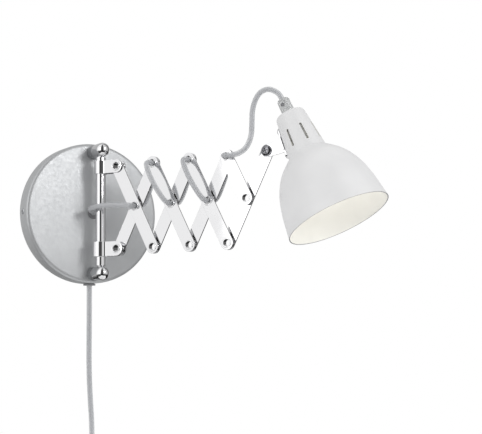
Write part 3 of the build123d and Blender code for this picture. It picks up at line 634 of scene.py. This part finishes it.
def clips():
    low = pivot("b", 0)[1]
    half = CLIP_THICK / 2
    clip("upper_clip_sheet", WRAP_OUT - half, UPPER_HEIGHT, TOP_Z, "swivel", "upper_clip")
    clip("lower_clip_sheet", SLEEVE_OUT - half, LOWER_HEIGHT, low, "slider", "lower_clip")
    end = LOWER_HEIGHT / 2 + 0.3
    inside, outside = ROD_R + RUN, BUSH_R - SEAT
    bush = [(inside, -end), (outside, -end), (outside, end), (inside, end)]
    piece("slide_bush_sleeve", turned(bush, 0.2, 64, True), ARM @ shift(0, 0, low), PALE_PLASTIC, "slider",
          ["slide_bush"])


# ---- lattice ----
def facing(x, z):
    """Frame of a round piece across the arm at (x, z): local Z points to the arm's back."""
    return ARM @ shift(x, 0, z) @ turn(-90, "X")


def strip(name, start, end, holes, depth, body, node):
    outline = bar_outline(start, end, STRIP_WIDTH / 2)
    mesh = plate(outline, [circle(x, z, r) for x, z, r in holes], STRIP_THICK, 0.16)
    upright = ARM @ shift(0, depth, 0) @ turn(90, "X")
    piece(name, mesh, upright, CHROME, body, [node], 40)


def rivet(name, x, z, reach, shoulder, body, node):
    """A hollow rivet: a bored tube with a rolled flange at each end and a thicker middle."""
    top = reach + FLANGE_T
    profile = [(RIVET_BORE, -top + 0.25), (RIVET_BORE + 0.35, -top), (FLANGE_R - 0.3, -top),
               (FLANGE_R, -reach), (RIVET_R, -reach), (RIVET_R, shoulder[0]), (SHOULDER_R, shoulder[0]),
               (SHOULDER_R, shoulder[1]), (RIVET_R, shoulder[1]), (RIVET_R, reach), (FLANGE_R, reach),
               (FLANGE_R - 0.3, top), (RIVET_BORE + 0.35, top), (RIVET_BORE, top - 0.25)]
    piece(name, turned(profile, 0.3, 48, True, 3), facing(x, z), CHROME, body, [node])


def lattice():
    turning, fixed = RIVET_R + RUN, RIVET_R + SEAT
    inner = LAYER_IN - 0.1
    reach = LAYER_OUT + 0.05
    depth = (LAYER_IN + LAYER_OUT) / 2
    for k in range(1, 5):
        top, centre, bottom = pivot("t", k - 1), pivot("c", k), pivot("b", k)
        holes = [(*top, turning), (*centre, fixed)]
        if k < 4:
            holes.append((*bottom, fixed))
        last = centre if k == 4 else bottom
        strip(f"front_strip_{k}_plate", top, last, holes, -depth, f"front_{k}", f"front_strip_{k}")
        for label, spot in (("centre", centre), ("bottom", bottom)):
            if k < 4 or label == "centre":
                rivet(f"{label}_rivet_{k}", *spot, reach, (-inner, inner), f"front_{k}", f"front_rivets_{k}")
        low = pivot("b", k - 1)
        high = head_pivot() if k == 4 else pivot("t", k)
        holes = [(*low, RIVET_R + 0.1), (*centre, turning), (*high, 2.52 if k == 4 else fixed)]
        strip(f"rear_strip_{k}_plate", low, high, holes, depth, f"rear_{k}", f"rear_strip_{k}")
        if k < 4:
            rivet(f"top_rivet_{k}", *high, reach, (-inner, inner), f"rear_{k}", f"rear_rivet_{k}")
    x, top = pivot("t", 0)
    low = pivot("b", 0)[1]
    rivet("upper_clip_eyelet", x, top, EAR_OUT, (-inner, EAR_IN - 0.02), "swivel", "upper_clip_rivet")
    rivet("lower_clip_eyelet", x, low, EAR_OUT, (-EAR_IN + 0.02, inner), "slider", "lower_clip_rivet")


# ---- head ----
def bell_line(points, steps):
    """A smooth line through points."""
    line = []
    count = len(points)
    for i in range(count - 1):
        a, b = Vector(points[i]), Vector(points[i + 1])
        before = Vector(points[i - 1]) if i else a + (a - b)
        after = Vector(points[i + 2]) if i + 2 < count else b + (b - a)
        start = (b - before) / 2
        end = (after - a) / 2
        for j in range(steps):
            t = j / steps
            line.append(tuple(a * (2 * t**3 - 3 * t**2 + 1) + start * (t**3 - 2 * t**2 + t)
                              + b * (-2 * t**3 + 3 * t**2) + end * (t**3 - t**2)))
    line.append(tuple(points[-1]))
    return line


def inset(line, by):
    """A (radius, height) line moved inwards, square to itself."""
    moved = []
    for i, p in enumerate(line):
        ahead = Vector(line[min(i + 1, len(line) - 1)]) - Vector(line[max(i - 1, 0)])
        ahead.normalize()
        moved.append((p[0] + ahead.y * by, p[1] - ahead.x * by))
    return moved


CREASE_AT, CREASE_DEEP, CREASE_WIDE = 95.0, 0.28, 0.7


def shade():
    neck = soften([(6.0, -NECK_TOP), (neck_r(NECK_TOP), -NECK_TOP), (NECK_END_R, -NECK_END)], 5.0, steps=10)
    bell = bell_line([(NECK_END_R, -NECK_END), *[(r, -s) for s, r in BELL], (RIM_R, -SHADE_END)], 14)
    outer = dense(neck, 2.5) + bell[1:]
    creased = []
    for r, z in outer:
        away = -z - CREASE_AT
        creased.append((r - CREASE_DEEP * exp(-(away / CREASE_WIDE) ** 2), z))
    inner = inset(outer, SHADE_WALL)
    inner[0] = (inner[0][0], -NECK_TOP - SHADE_WALL)
    rim = [(RIM_R - 0.15, -SHADE_END), (RIM_R - SHADE_WALL + 0.15, -SHADE_END)]
    inner[-1] = (inner[-1][0], -SHADE_END + 0.15)
    shell = lathe(creased + rim + list(reversed(inner)), 160, closed=True)
    obj = piece("shade_shell", shell, HEAD, SHADE_PAINT, "head", ["shade"], 28)
    cutters = []
    for angle in SLOT_TURNS:
        half = (SLOT_LENGTH - SLOT_WIDTH) / 2
        outline = bar_outline((-SLOT_AT - half, 0), (-SLOT_AT + half, 0), SLOT_WIDTH / 2)
        place = HEAD @ turn(angle, "Z") @ shift(17, 0, 0) @ turn(-90, "Y")
        cutters.append(cutter_from(as_bmesh(plate(outline, [], 24, 0.01)), place))
    cut(obj, 28, *cutters)
    paint_inside(obj)


def paint_inside(obj):
    """Gives the faces that look at the shade's axis the inner white paint, warm-tinted as painted lamplight,
    and the cut rim a dark grey as painted shade.
    """
    obj.data.materials.append(SHADE_INSIDE_PAINT_AND_LAMPLIGHT)
    obj.data.materials.append(RIM_PAINTED_SHADE)
    back = (IN_MM @ HEAD).inverted()
    turned_back = back.to_3x3()
    for polygon in obj.data.polygons:
        centre = back @ polygon.center
        normal = turned_back @ polygon.normal
        outwards = Vector((centre.x, centre.y, 0)).normalized()
        # faces that look at the axis get the inner paint with its painted warm lamplight
        if normal.dot(outwards) < -0.2 and -centre.z > 1:
            polygon.material_index = 1
        # the rim's bottom face gets the dark grey: painted shade
        if centre.z < 0.4 - SHADE_END and abs(normal.z) > 0.5:
            polygon.material_index = 2


def bracket():
    """Plate on the neck and its tab, cut from one blank and bent along the tab's root."""
    spot = PLATE.inverted() @ ARM @ Vector((head_pivot()[0], 0, head_pivot()[1]))
    mid = BRACKET_T / 2
    r = 1.6
    corner = PLATE_HALF - mid
    spine = [(mid, -PLATE_HALF)] + arc(mid + r, corner - r, r, 180, 90, 6)
    flat_length = 2 * PLATE_HALF - mid - r
    root = flat_length + pi * r / 2
    px = root + spot.x - mid - r
    spine += [(spot.x + 7, corner)]
    spine = dense(spine, 2.5)
    pz = spot.z
    lean = degrees(asin(0.5 / (px - root)))
    side = 6.0
    outline = [(0, -6.2), (1.8, -6.2), (1.8, -10.8)] + arc(PLATE_HALF, -10.8, 4.2, 180, 360)[1:-1]
    outline += [(10.2, -10.8), (10.2, -6.2), (root, -6.2)] + arc(px, pz, side, -90 - lean, 90 + lean)
    outline += [(root, 6.2), (10.2, 6.2), (10.2, 10.8)] + arc(PLATE_HALF, 10.8, 4.2, 0, 180)[1:-1]
    outline += [(1.8, 10.8), (1.8, 6.2), (0, 6.2)]
    holes = [circle(px, pz, 2.6)]
    blank = as_bmesh(plate(outline, holes, BRACKET_T - 0.02, 0.2))
    piece("tilt_bracket_sheet", bend(blank, spine), PLATE, CHROME, "head", ["tilt_bracket"], 40)
    dome = [(0, 2.0)] + [(2.9 * sin(radians(a)), 2.0 * cos(radians(a)))
                         for a in range(15, 91, 15)] + [(1.6, 0), (1.6, -3.2), (0, -3.2)]
    for offset, label in ((-BRACKET_RIVETS, "upper"), (BRACKET_RIVETS, "lower")):
        place = PLATE @ shift(BRACKET_T, 0, offset) @ turn(90, "Y")
        piece(f"bracket_rivet_{label}", lathe(dome, 32), place, CHROME, "head", ["bracket_rivets"])


def tilt_fasteners():
    x, z = head_pivot()
    end = TAB_FRONT - LAYER_OUT - 4.4
    profile = [(0, 2.7), (1.6, 2.62), (3.2, 2.25), (4.6, 1.45), (SCREW_HEAD_R, 0.6),
               (SCREW_HEAD_R, 0.05), (2.5, 0.05), (2.5, end), (0, end)]
    place = ARM @ shift(x, TAB_FRONT, z) @ turn(90, "X")
    obj = piece("tilt_screw_pan", turned(profile, 0.5), place, SCREW_STEEL, "rear_4",
                ["tilt_screw"])
    arms = (block(-2.3, 2.3, -0.5, 0.5, 1.3, 4), block(-0.5, 0.5, -2.3, 2.3, 1.3, 4))
    cut(obj, 35, *[cutter_from(arm, place @ turn(20, "Z")) for arm in arms])
    nut = plate(circle(0, 0, 4.4, 6), [circle(0, 0, 2.5)], 3.2, 0.3)
    place = ARM @ shift(x, LAYER_OUT + 0.75 + 1.6, z) @ turn(90, "X")
    piece("tilt_nut_hex", nut, place, ZINC, "rear_4", ["tilt_nut"], 30)
    washer = plate(circle(0, 0, 5), [circle(0, 0, 2.55)], 0.66, 0.1)
    place = ARM @ shift(x, LAYER_OUT + 0.38, z) @ turn(90, "X")
    piece("tilt_washer_ring", washer, place, ZINC, "rear_4", [], 30)


def grip():
    bottom, top = GRIP_FROM, GRIP_TO
    profile = [(CORD_R + 0.05, bottom), (5.6, bottom), (GRIP_R, bottom + 1.2), (GRIP_R - 0.25, top - 1.2),
               (GRIP_R - 1.0, top), (CORD_R + 0.6, top), (CORD_R + 0.05, top - 1.5)]
    piece("cord_grip_body", turned(profile, 0.4, 64, True), HEAD, GRIP, "head",
          ["cord_grip"])
    screw = [(0, 0.55), (1.5, 0.55), (1.7, 0.2), (1.6, -2.6), (0, -2.6)]
    place = HEAD @ shift(0, -GRIP_R + 0.3, 12.6) @ turn(90, "X")
    obj = piece("grip_screw_head", turned(screw, 0.15, 32), place, DARK_STEEL, "head",
                ["grip_screw"])
    cut(obj, 30, cutter_from(block(-3, 3, -0.3, 0.3, 0.1, 2), place @ turn(35, "Z")))
    bore = CORD_R + 0.6
    collar = [(bore, -6.4), (4.93, -6.4), (4.93, 3.55), (5.9, 3.55), (5.9, 5.45), (bore, 5.45)]
    piece("nipple_tube", turned(collar, 0.25, closed=True), HEAD, DARK_STEEL, "head",
          ["nipple"])


def holder():
    profile = [(4.97, 2.3), (8.2, 2.3), (11.0, -1.5), (12.1, -5), (12.1, -12), (13.3, -14), (13.3, -38),
               (12.9, -38.4), (13.3, -38.8), (13.3, -43), (8.9, -43), (8.9, -17), (4.97, -17)]
    piece("lamp_holder_body", turned(profile, 0.5, 72, True, 3), HEAD, WHITE_PLASTIC, "head",
          ["lamp_holder"])


def bulb():
    ball = [(0, -BULB_AT - BULB_R)] + arc(0, -BULB_AT, BULB_R, -85, 65, 30)
    ball += [(9.0, -46.8), (8.6, -45.2), (8.6, -43.6), (0, -43.6)]
    piece("bulb_globe", lathe(ball, 96), HEAD, OPAL, "head", ["bulb_glass"], 60)
    thread = [(0, -19.0), (2.4, -19.0), (2.8, -21.2), (6.4, -23)]
    for ring in range(6):
        for step in range(8):
            a = 2 * pi * step / 8
            thread.append((6.75 + 0.25 * cos(a), -23.8 - 3.2 * (ring + step / 8)))
    thread += [(7.4, -43.4), (0, -43.4)]
    piece("bulb_cap_thread", lathe(thread, 72), HEAD, BULB_CAP, "head", ["bulb_base"], 50)


# ---- cords ----
def smooth_route(points, place):
    """The smooth line of a NURBS spline with these control points, as world points in metres."""
    curve = bpy.data.curves.new("route", "CURVE")
    curve.dimensions = "3D"
    curve.resolution_u = 12
    spline = curve.splines.new("NURBS")
    spline.points.add(len(points) - 1)
    for point, spot in zip(spline.points, points):
        x, y, z = (place @ Vector(spot)) * MM
        point.co = (x, y, z, 1)
    spline.order_u = 3
    spline.use_endpoint_u = True
    mesh = mesh_of(curve)
    line = [v.co.copy() for v in mesh.vertices]
    bpy.data.meshes.remove(mesh)
    return line


def even(line, gap):
    """The line's points, evenly spaced."""
    lengths = [0.0]
    for a, b in zip(line, line[1:]):
        lengths.append(lengths[-1] + (b - a).length)
    count = max(2, round(lengths[-1] / gap))
    spaced = []
    i = 0
    for n in range(count + 1):
        want = lengths[-1] * n / count
        while i < len(line) - 2 and lengths[i + 1] < want:
            i += 1
        span = lengths[i + 1] - lengths[i]
        spaced.append(line[i].lerp(line[i + 1], min(1.0, (want - lengths[i]) / span)))
    return spaced


def frames_along(line):
    """A direction and two square directions at each point, carried along without twist."""
    carried = []
    side = None
    for i in range(len(line)):
        ahead = (line[min(i + 1, len(line) - 1)] - line[max(i - 1, 0)]).normalized()
        if side is None:
            side = ahead.orthogonal().normalized()
        side = (side - ahead * side.dot(ahead)).normalized()
        carried.append((ahead, side, ahead.cross(side)))
    return carried


def tube(line, radius, sides, offset=0.0, pitch=None, phase=0.0):
    """A round tube along a line; with an offset it winds round the line once in every pitch."""
    bm = bmesh.new()
    rings = []
    travelled = 0.0
    for i, (spot, (ahead, side, other)) in enumerate(zip(line, frames_along(line))):
        if i:
            travelled += (spot - line[i - 1]).length
        centre = spot
        if offset:
            a = phase + 2 * pi * travelled / pitch
            centre = spot + (side * cos(a) + other * sin(a)) * offset
        ring = []
        for j in range(sides):
            b = 2 * pi * j / sides
            ring.append(bm.verts.new(centre + (side * cos(b) + other * sin(b)) * radius))
        rings.append(ring)
    for a, b in zip(rings, rings[1:]):
        for j in range(sides):
            bm.faces.new((a[j], a[(j + 1) % sides], b[(j + 1) % sides], b[j]))
    bm.faces.new(list(reversed(rings[0])))
    bm.faces.new(rings[-1])
    return bm


IN_METRES = Matrix.Scale(1 / MM, 4)      # for meshes that are made in metres
CORD_STEP = 0.0011                       # metres between the rings of a cord's mesh
CORE_R, CORE_OUT = 0.40, 0.41            # a core's radius and place, as shares of the sheath's radius
TWIST = 0.40                             # metres for one turn of the cores round each other


def sheathed(name, line, radius, body, nodes, phase=0.0):
    """A clear sheath over two silver cores laid round each other."""
    line = even(line, CORD_STEP)
    parts = [piece(f"{name}_sheath", tube(line, radius * MM, 20), IN_METRES, SHEATH, body, nodes, 50)]
    for core in (0, 1):
        start = phase + core * pi
        strand = tube(line, radius * MM * CORE_R, 10, radius * MM * CORE_OUT, TWIST, start)
        parts.append(piece(f"{name}_core_{core + 1}", strand, IN_METRES, CORE, body, [], 60))
    return parts, line


FRONT_BOW = ((0, 11.3), (5.6, 16.2), (21, 17.9), (36, 14.6), (45.48, 9.4))
REAR_BOW = ((0, 10.0), (5.6, 13.6), (19, 12.8), (34, 10.2), (45.48, 8.4))
CORD_FRONT = 3.6


def on_arm(points):
    """(x, front, z) points in the arm's frame."""
    return [(x, -front, z) for x, front, z in points]


def loop_route(start, end, side):
    (x0, z0), (x1, z1) = start, end
    half = STRIP_PITCH / 2
    near = CORD_FRONT + 0.15 if side > 0 else -(CORD_FRONT - 0.15)
    shape = [(0, near), *(FRONT_BOW if side > 0 else REAR_BOW), (half, near)]
    return [(x0 + (x1 - x0) * w / half, side * out, z0 + (z1 - z0) * w / half) for w, out in shape]


def loops():
    for k in (1, 2, 3):
        route = loop_route(pivot("c", k), pivot("t", k), -1)
        sheathed(f"rear_loop_{k}", smooth_route(on_arm(route), ARM), CORD_R, f"rear_{k}",
                 [f"cord_rear_loop_{k}"], k)
    for k in (2, 3):
        route = loop_route(pivot("t", k - 1), pivot("c", k), 1)
        sheathed(f"front_loop_{k}", smooth_route(on_arm(route), ARM), CORD_R, f"front_{k}",
                 [f"cord_front_loop_{k}"], k)


def wall_span_route():
    face = ROD_Y - CANOPY_DEPTH
    angle = radians(ARM_TURN)
    x1, z1 = pivot("c", 1)
    outwards = [(-out * sin(angle), -out * cos(angle), 0) for out in (face, face - 6.5)]
    return outwards + [(-10.6, 2.6, 1.0), (-5.0, 11.2, 2.6), (8.0, 13.0, 4.2), (22.2, 12.2, 4.0),
                       (33.6, 13.4, 3.4), (x1, 10.9, z1), (x1, CORD_FRONT + 0.15, z1)]


def head_span_route():
    x3, z3 = pivot("t", 3)
    tilt = radians(SHADE_TILT)
    x_axis = PIVOT_OUT + 4 * STEP + AXIS_OUT
    middle = ((0, 9.9, -0.3), (9.0, 12.7, -1.2), (19.1, 13.0, -0.9), (28.3, 13.0, 4.2),
              (33.1, 12.5, 15.0), (33.1, 11.5, 28.6), (33.0, 10.6, 39.0), (36.0, 10.0, 48.8),
              (40.9, 9.3, 55.4), (48.3, 8.1, 57.8), (55.2, 6.5, 54.9))
    points = [(x3, CORD_FRONT + 0.15, z3)]
    points += [(x3 + x, front, z3 + z) for x, front, z in middle]
    for up in (GRIP_TO + 5.4, GRIP_TO - 6.0):
        points.append((x_axis - up * sin(tilt), AXIS_FRONT, AXIS_Z + up * cos(tilt)))
    return points


SPAN_SPLIT = 0.42


def span(name, route, first, second, node):
    """A cord span across two joints, split in two where its middle body takes over; both halves are baked in
    place and ride no body.
    """
    line = even(smooth_route(on_arm(route), ARM), CORD_STEP)
    split = round(len(line) * SPAN_SPLIT)
    halves = (("a", line[: split + 1], first, 0.4), ("b", line[split:], second, 1.9))
    for label, stretch, bodies, phase in halves:
        parts, _ = sheathed(f"{name}_{label}", stretch, CORD_R, None, [], phase)
        for part in parts:
            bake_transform(part)
        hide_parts(node)


def spans():
    span("wall_span", wall_span_route(), ("base", "swivel"), ("swivel", "front_1"), "cord_wall_span")
    span("head_span", head_span_route(), ("front_4", "rear_4"), ("rear_4", "head"), "cord_head_span")


CORD_X, CORD_Y = 2.6, -11.8
DROP_ROUTE = ((0, -EXIT_Y, -73.2), (0, -EXIT_Y, -112.0), (-0.5, -11.0, -152.0),
              (0.9, -11.6, -186.0), (CORD_X, CORD_Y, -208.0), (CORD_X, CORD_Y, SWITCH_TOP))
COIL_X = CORD_X + COIL_SHIFT - COIL_R
COIL_Z = SWITCH_TOP - SWITCH_LENGTH - COIL_BELOW
POINTS_A_HALF = 12


def coil_corners():
    """Ends of the coil's half turns, right and left in turn, and the plug's place."""
    radius, depth, side = COIL_R, CORD_Y, 1
    corners = [(COIL_X + radius, depth, COIL_Z)]
    for layer in range(COIL_LAYERS):
        inward = -1 if layer % 2 == 0 else 1
        for _ in range(HALVES_A_LAYER):
            radius += inward * COIL_PITCH / 2
            side = -side
            corners.append((COIL_X + side * radius, depth, COIL_Z))
        if layer < COIL_LAYERS - 1:
            side = -side
            depth -= COIL_PITCH
            corners.append((COIL_X + side * radius, depth, COIL_Z))
    corners.append((COIL_X + COIL_R + COIL_PITCH / 2, depth - PLUG_FORWARD, COIL_Z))
    return corners


def coil_route():
    """Control points: the S below the switch, the half turns, and the run into the plug."""
    corners = [Vector(c) for c in coil_corners()]
    top = SWITCH_TOP - SWITCH_LENGTH
    run = COIL_BELOW - 2 * MAINS_R
    lead = [(CORD_X, CORD_Y, top), (CORD_X, CORD_Y, top - 2 * MAINS_R - 0.24 * run),
            (corners[0].x, CORD_Y, COIL_Z + 0.24 * run)]
    points = [Vector(p) for p in lead]
    swell = 1 / cos(pi / (2 * POINTS_A_HALF)) ** 0.5
    going = -1
    for here, there in zip(corners, corners[1:]):
        middle = (here + there) / 2
        reach = (there - here) / 2
        for i in range(POINTS_A_HALF):
            a = pi * (i + 0.5) / POINTS_A_HALF
            up = Vector((0, 0, going * reach.length * sin(a)))
            points.append(middle + (up - reach * cos(a)) * swell)
        going = -going
    end = corners[-1]
    points += [end - Vector((0, 0, 0.5)), end - Vector((0, 0, 2 * MAINS_R))]
    return [tuple(p) for p in points]


def mains():
    drop_line = smooth_route(DROP_ROUTE, ROW)
    coil_line = smooth_route(coil_route(), ROW)
    drop_parts, drop_path = sheathed("mains_drop", drop_line, MAINS_R, "base", ["mains_drop"])
    coil_parts, coil_path = sheathed("mains_coil", coil_line, MAINS_R, "base", ["mains_coil"],
                                     1.0)
    switch_parts = switch()
    plug_parts = plug(coil_corners()[-1])
    coil_tie()


def coil_tie():
    """A strap round the coil's bundle of turns, at its lower left."""
    deep = (COIL_LAYERS - 1) * COIL_PITCH
    width = 1.25 * COIL_PITCH
    slack = 2 * MAINS_R + 1.8
    outer = rounded_rectangle(width + slack + 2.4, deep + slack + 2.4, 4.4)
    inner = rounded_rectangle(width + slack, deep + slack, 3.2)
    place = shift(COIL_X, CORD_Y - deep / 2, COIL_Z) @ turn(135, "Y")
    place = place @ shift(COIL_R - 0.75 * COIL_PITCH, 0, 0)
    band = plate(outer, [inner], 8, 0.4)
    return piece("coil_tie_band", band, place, GREY_PLASTIC, "base", ["coil_tie"], 40)


def switch():
    """In-line rocker switch: two shells with a parting line, cord mouths and a rocker."""
    middle = SWITCH_TOP - SWITCH_LENGTH / 2
    reach = SWITCH_LENGTH / 2 - SWITCH_END_R
    outline = arc(0, reach, SWITCH_END_R, 0, 180, 24) + arc(0, -reach, SWITCH_END_R, 180, 360, 24)
    made = []
    for side, node in ((-1, "switch_front"), (1, "switch_back")):
        shell = plate(outline, [], SWITCH_DEPTH / 2 - 0.15, 2.4)
        place = shift(CORD_X, CORD_Y + side * (SWITCH_DEPTH / 4 + 0.07), middle) @ turn(90, "X")
        obj = piece(f"{node}_shell", shell, place, WHITE_PLASTIC, "base", [node], 50)
        mouth = lathe([(0, -40), (MAINS_R + 0.1, -40), (MAINS_R + 0.1, 40), (0, 40)], 32)
        cutters = [cutter_from(mouth, shift(CORD_X, CORD_Y, middle))]
        if side < 0:
            window = plate(rounded_rectangle(12.4, 21, 1.5), [], 12, 0.01)
            window_at = shift(CORD_X, CORD_Y - SWITCH_DEPTH / 2, middle) @ turn(90, "X")
            cutters.append(cutter_from(as_bmesh(window), window_at))
        cut(obj, 40, *cutters)
        made.append(obj)
    made.append(rocker(middle))
    return made


def rocker(middle):
    face = -SWITCH_DEPTH / 2
    profile = [(face - 1.9, 9.2), (face - 0.9, 6.0), (face + 0.3, 0), (face - 0.1, -6.0), (face - 0.2, -9.2),
               (face + 4, -8.6), (face + 4, 8.6)]
    solid = plate(soften(profile, 0.5, closed=True), [], 11.6, 0.5)
    sideways = Matrix(((0, 0, 1, 0), (1, 0, 0, 0), (0, 1, 0, 0), (0, 0, 0, 1)))
    place = shift(CORD_X, CORD_Y, middle) @ sideways
    return piece("switch_rocker_key", solid, place, GREY_PLASTIC, "rocker", ["switch_rocker"],
                 40)


PLUG_SLEEVE, PLUG_BODY, PLUG_HALF = 22.0, 36.0, 17.5
PIN_SPREAD, PIN_R = 9.3, 2.0


def plug(end):
    """Flat moulded two-pin plug with a ribbed strain relief."""
    x, y, z = end
    z -= 2 * MAINS_R
    place = shift(x, y, z)
    sleeve = [(0, 0), (3.6, 0)]
    for ring in range(5):
        low = -2.2 - 4.0 * ring
        r = 3.6 + 0.28 * ring
        sleeve += [(r, low), (r - 0.6, low - 0.35), (r - 0.6, low - 1.5), (r + 0.15, low - 1.85)]
    sleeve += [(5.0, -PLUG_SLEEVE - 1), (0, -PLUG_SLEEVE - 1)]
    relief = piece("plug_strain_relief", turned(sleeve, 0.2), place, WHITE_PLASTIC, "base", [],
                   40)
    half = [(-6, 0), (-PLUG_HALF, -12), (-PLUG_HALF, -30), (-14, -PLUG_BODY)]
    outline = half + [(-x, y) for x, y in reversed(half)]
    body = plate(soften(outline, 3.0, closed=True), [], 13.7, 1.8)
    body_at = place @ shift(0, 0, -PLUG_SLEEVE + 1) @ turn(90, "X")
    shell = piece("plug_shell", body, body_at, WHITE_PLASTIC, "base", ["plug_body"], 40)
    made = [relief, shell]
    tip = -PLUG_SLEEVE + 1 - PLUG_BODY
    end = tip - PIN_LENGTH
    bare = end + PIN_TIP
    for side, label in ((-1, "left"), (1, "right")):
        at = place @ shift(side * PIN_SPREAD, 0, 0)
        pin = [(0, tip + 6), (1.3, tip + 6), (1.3, bare), (PIN_R, bare), (PIN_R, end + 1.4),
               (1.5, end + 0.4), (0, end)]
        pin = turned(pin, 0.6, 32)
        made.append(piece(f"plug_pin_{label}", pin, at, PIN_NICKEL, "base", ["plug_pins"]))
        collar = [(1.32, tip + 3), (1.7, tip + 3), (1.7, bare + 0.02), (1.32, bare + 0.02)]
        collar = turned(collar, 0.05, 32, True)
        made.append(piece(f"plug_pin_collar_{label}", collar, at, WHITE_PLASTIC, "base", []))
    return made


# ---- solids that stay, with their finishes ----
def dress(node, material):
    for holder in frame["nodes"][node].material_slots:
        holder.material = material


def dress_solids():
    for node in ("wall_bracket", "post_bolts", "inner_screws"):
        dress(node, ZINC)
    for node in ("terminal_block", "cord_clamp"):
        dress(node, WHITE_PLASTIC)
    dress("inner_leads", PALE_PLASTIC)
    dress("holder_contacts", BRASS)


# ---- camera, light and ground ----
FRONT = (-0.455, -0.884)          # the way the lamp's front is seen from
# grey levels: (degrees from the front, left negative) or (height of the ray), level
GLOSS_ROUND = ((-180, 0.55), (-104, 0.42), (-92, 0.92), (-60, 0.92), (-25, 0.95), (-19, 0.06), (17, 0.06),
               (23, 0.74), (60, 0.70), (96, 0.45), (104, 0.12), (128, 0.12), (142, 0.55), (180, 0.55))
GLOSS_HEIGHT = ((-1.0, 0.06), (-0.40, 0.06), (-0.18, 1.0), (1.0, 1.0))
FLOOR_HALF, FLOOR_Z = 480, -620
LIGHT_ROUND = ((-180, 1.0), (-95, 1.0), (-20, 0.62), (20, 0.58), (95, 0.90), (180, 1.0))


def camera():
    yaw, pitch, roll = radians(YAW), radians(PITCH), radians(ROLL)
    ahead = Vector((sin(yaw) * cos(pitch), cos(yaw) * cos(pitch), sin(pitch)))
    right = Vector((cos(yaw), -sin(yaw), 0))
    up = right.cross(ahead)
    right = right * cos(roll) + up * sin(roll)
    up = right.cross(ahead)
    data = bpy.data.cameras.new("camera")
    data.sensor_fit = "HORIZONTAL"
    data.sensor_width = 36.0
    data.lens = 36.0 * FOCAL_PX / PICTURE_W
    data.clip_start = 0.01
    eye = into_scene("camera", data)
    eye.matrix_world = Matrix((
        (right.x, up.x, -ahead.x, CAMERA_AT[0]),
        (right.y, up.y, -ahead.y, CAMERA_AT[1]),
        (right.z, up.z, -ahead.z, CAMERA_AT[2]),
        (0, 0, 0, 1)))
    bpy.context.scene.camera = eye


def area_light(name, at, aim, width, height, power):
    data = bpy.data.lights.new(name, "AREA")
    data.shape = "RECTANGLE"
    data.size = width
    data.size_y = height
    data.energy = power
    lamp = into_scene(name, data)
    lamp.location = at
    lamp.rotation_euler = (Vector(aim) - Vector(at)).to_track_quat("-Z", "Y").to_euler()


def lights():
    area_light("key", (0.42, -1.35, 0.40), (0.03, -0.05, 0.0), 0.35, 0.35, 4.0)
    area_light("left_fill", (-1.4, -0.5, 0.3), (0.05, -0.1, 0.0), 0.7, 1.2, 2.0)


def math_node(tree, operation, *values):
    """The output of a Math node whose inputs are numbers or sockets."""
    node = add_node(tree, "Math")
    node.operation = operation
    for socket, value in zip(node.inputs, values):
        feed(tree, value, socket)
    return node.outputs["Value"]


def backdrop(tree, level):
    node = add_node(tree, "Background", Color=(1, 1, 1, 1), Strength=level)
    return node.outputs["Background"]


def mix(tree, share, first, second):
    node = add_node(tree, "MixShader", Fac=share)
    feed(tree, first, node.inputs[1])
    feed(tree, second, node.inputs[2])
    return node.outputs["Shader"]


def greys(levels, low, high):
    """(place, grey level) pairs between low and high as the stops of a ramp."""
    return [((at - low) / (high - low), (level,) * 3) for at, level in levels]


def world():
    """White to the camera; for light and gloss a pale studio with darker parts round the compass."""
    studio = bpy.data.worlds.new("studio")
    bpy.context.scene.world = studio
    studio.use_nodes = True
    tree = studio.node_tree
    tree.nodes.clear()
    place = add_node(tree, "TexCoord").outputs["Generated"]
    split = add_node(tree, "SeparateXYZ", Vector=place)
    x, y, z = (split.outputs[axis] for axis in "XYZ")
    # heading of a ray from the front, left negative and right positive, as a share of a turn
    side = math_node(tree, "SUBTRACT", math_node(tree, "MULTIPLY", x, -FRONT[1]),
                     math_node(tree, "MULTIPLY", y, -FRONT[0]))
    ahead = math_node(tree, "ADD", math_node(tree, "MULTIPLY", x, FRONT[0]),
                      math_node(tree, "MULTIPLY", y, FRONT[1]))
    heading = math_node(tree, "ARCTAN2", side, ahead)
    share = math_node(tree, "MULTIPLY_ADD", heading, 1 / (2 * pi), 0.5)
    height = math_node(tree, "MULTIPLY_ADD", z, 0.5, 0.5)
    gloss = math_node(tree, "MULTIPLY", ramp_node(tree, share, greys(GLOSS_ROUND, -180, 180)),
                      ramp_node(tree, height, greys(GLOSS_HEIGHT, -1, 1)))
    light = ramp_node(tree, share, greys(LIGHT_ROUND, -180, 180))
    rays = add_node(tree, "LightPath").outputs
    shiny = math_node(tree, "MAXIMUM", rays["Is Glossy Ray"], rays["Is Transmission Ray"])
    soft = mix(tree, shiny, backdrop(tree, light), backdrop(tree, gloss))
    seen = mix(tree, rays["Is Camera Ray"], soft, backdrop(tree, 1.0))
    add_node(tree, "OutputWorld", Surface=seen)


def ground():
    """A plain pale floor well below the hanging plug."""
    bm = bmesh.new()
    bmesh.ops.create_grid(bm, x_segments=2, y_segments=2, size=FLOOR_HALF)
    material = moulded("pale_floor", (0.84, 0.84, 0.84), (0.88, 0.88, 0.88), 0.7)
    piece("floor", bm, shift(0, -150, FLOOR_Z), material, None)


camera()
mains()
spans()
loops()
canopy()
side_screws()
posts()
rod()
grommet()
gland()
clips()
lattice()
shade()
bracket()
tilt_fasteners()
grip()
holder()
bulb()
dress_solids()
world()
lights()
ground()
bpy.context.scene.view_settings.view_transform = "Standard"
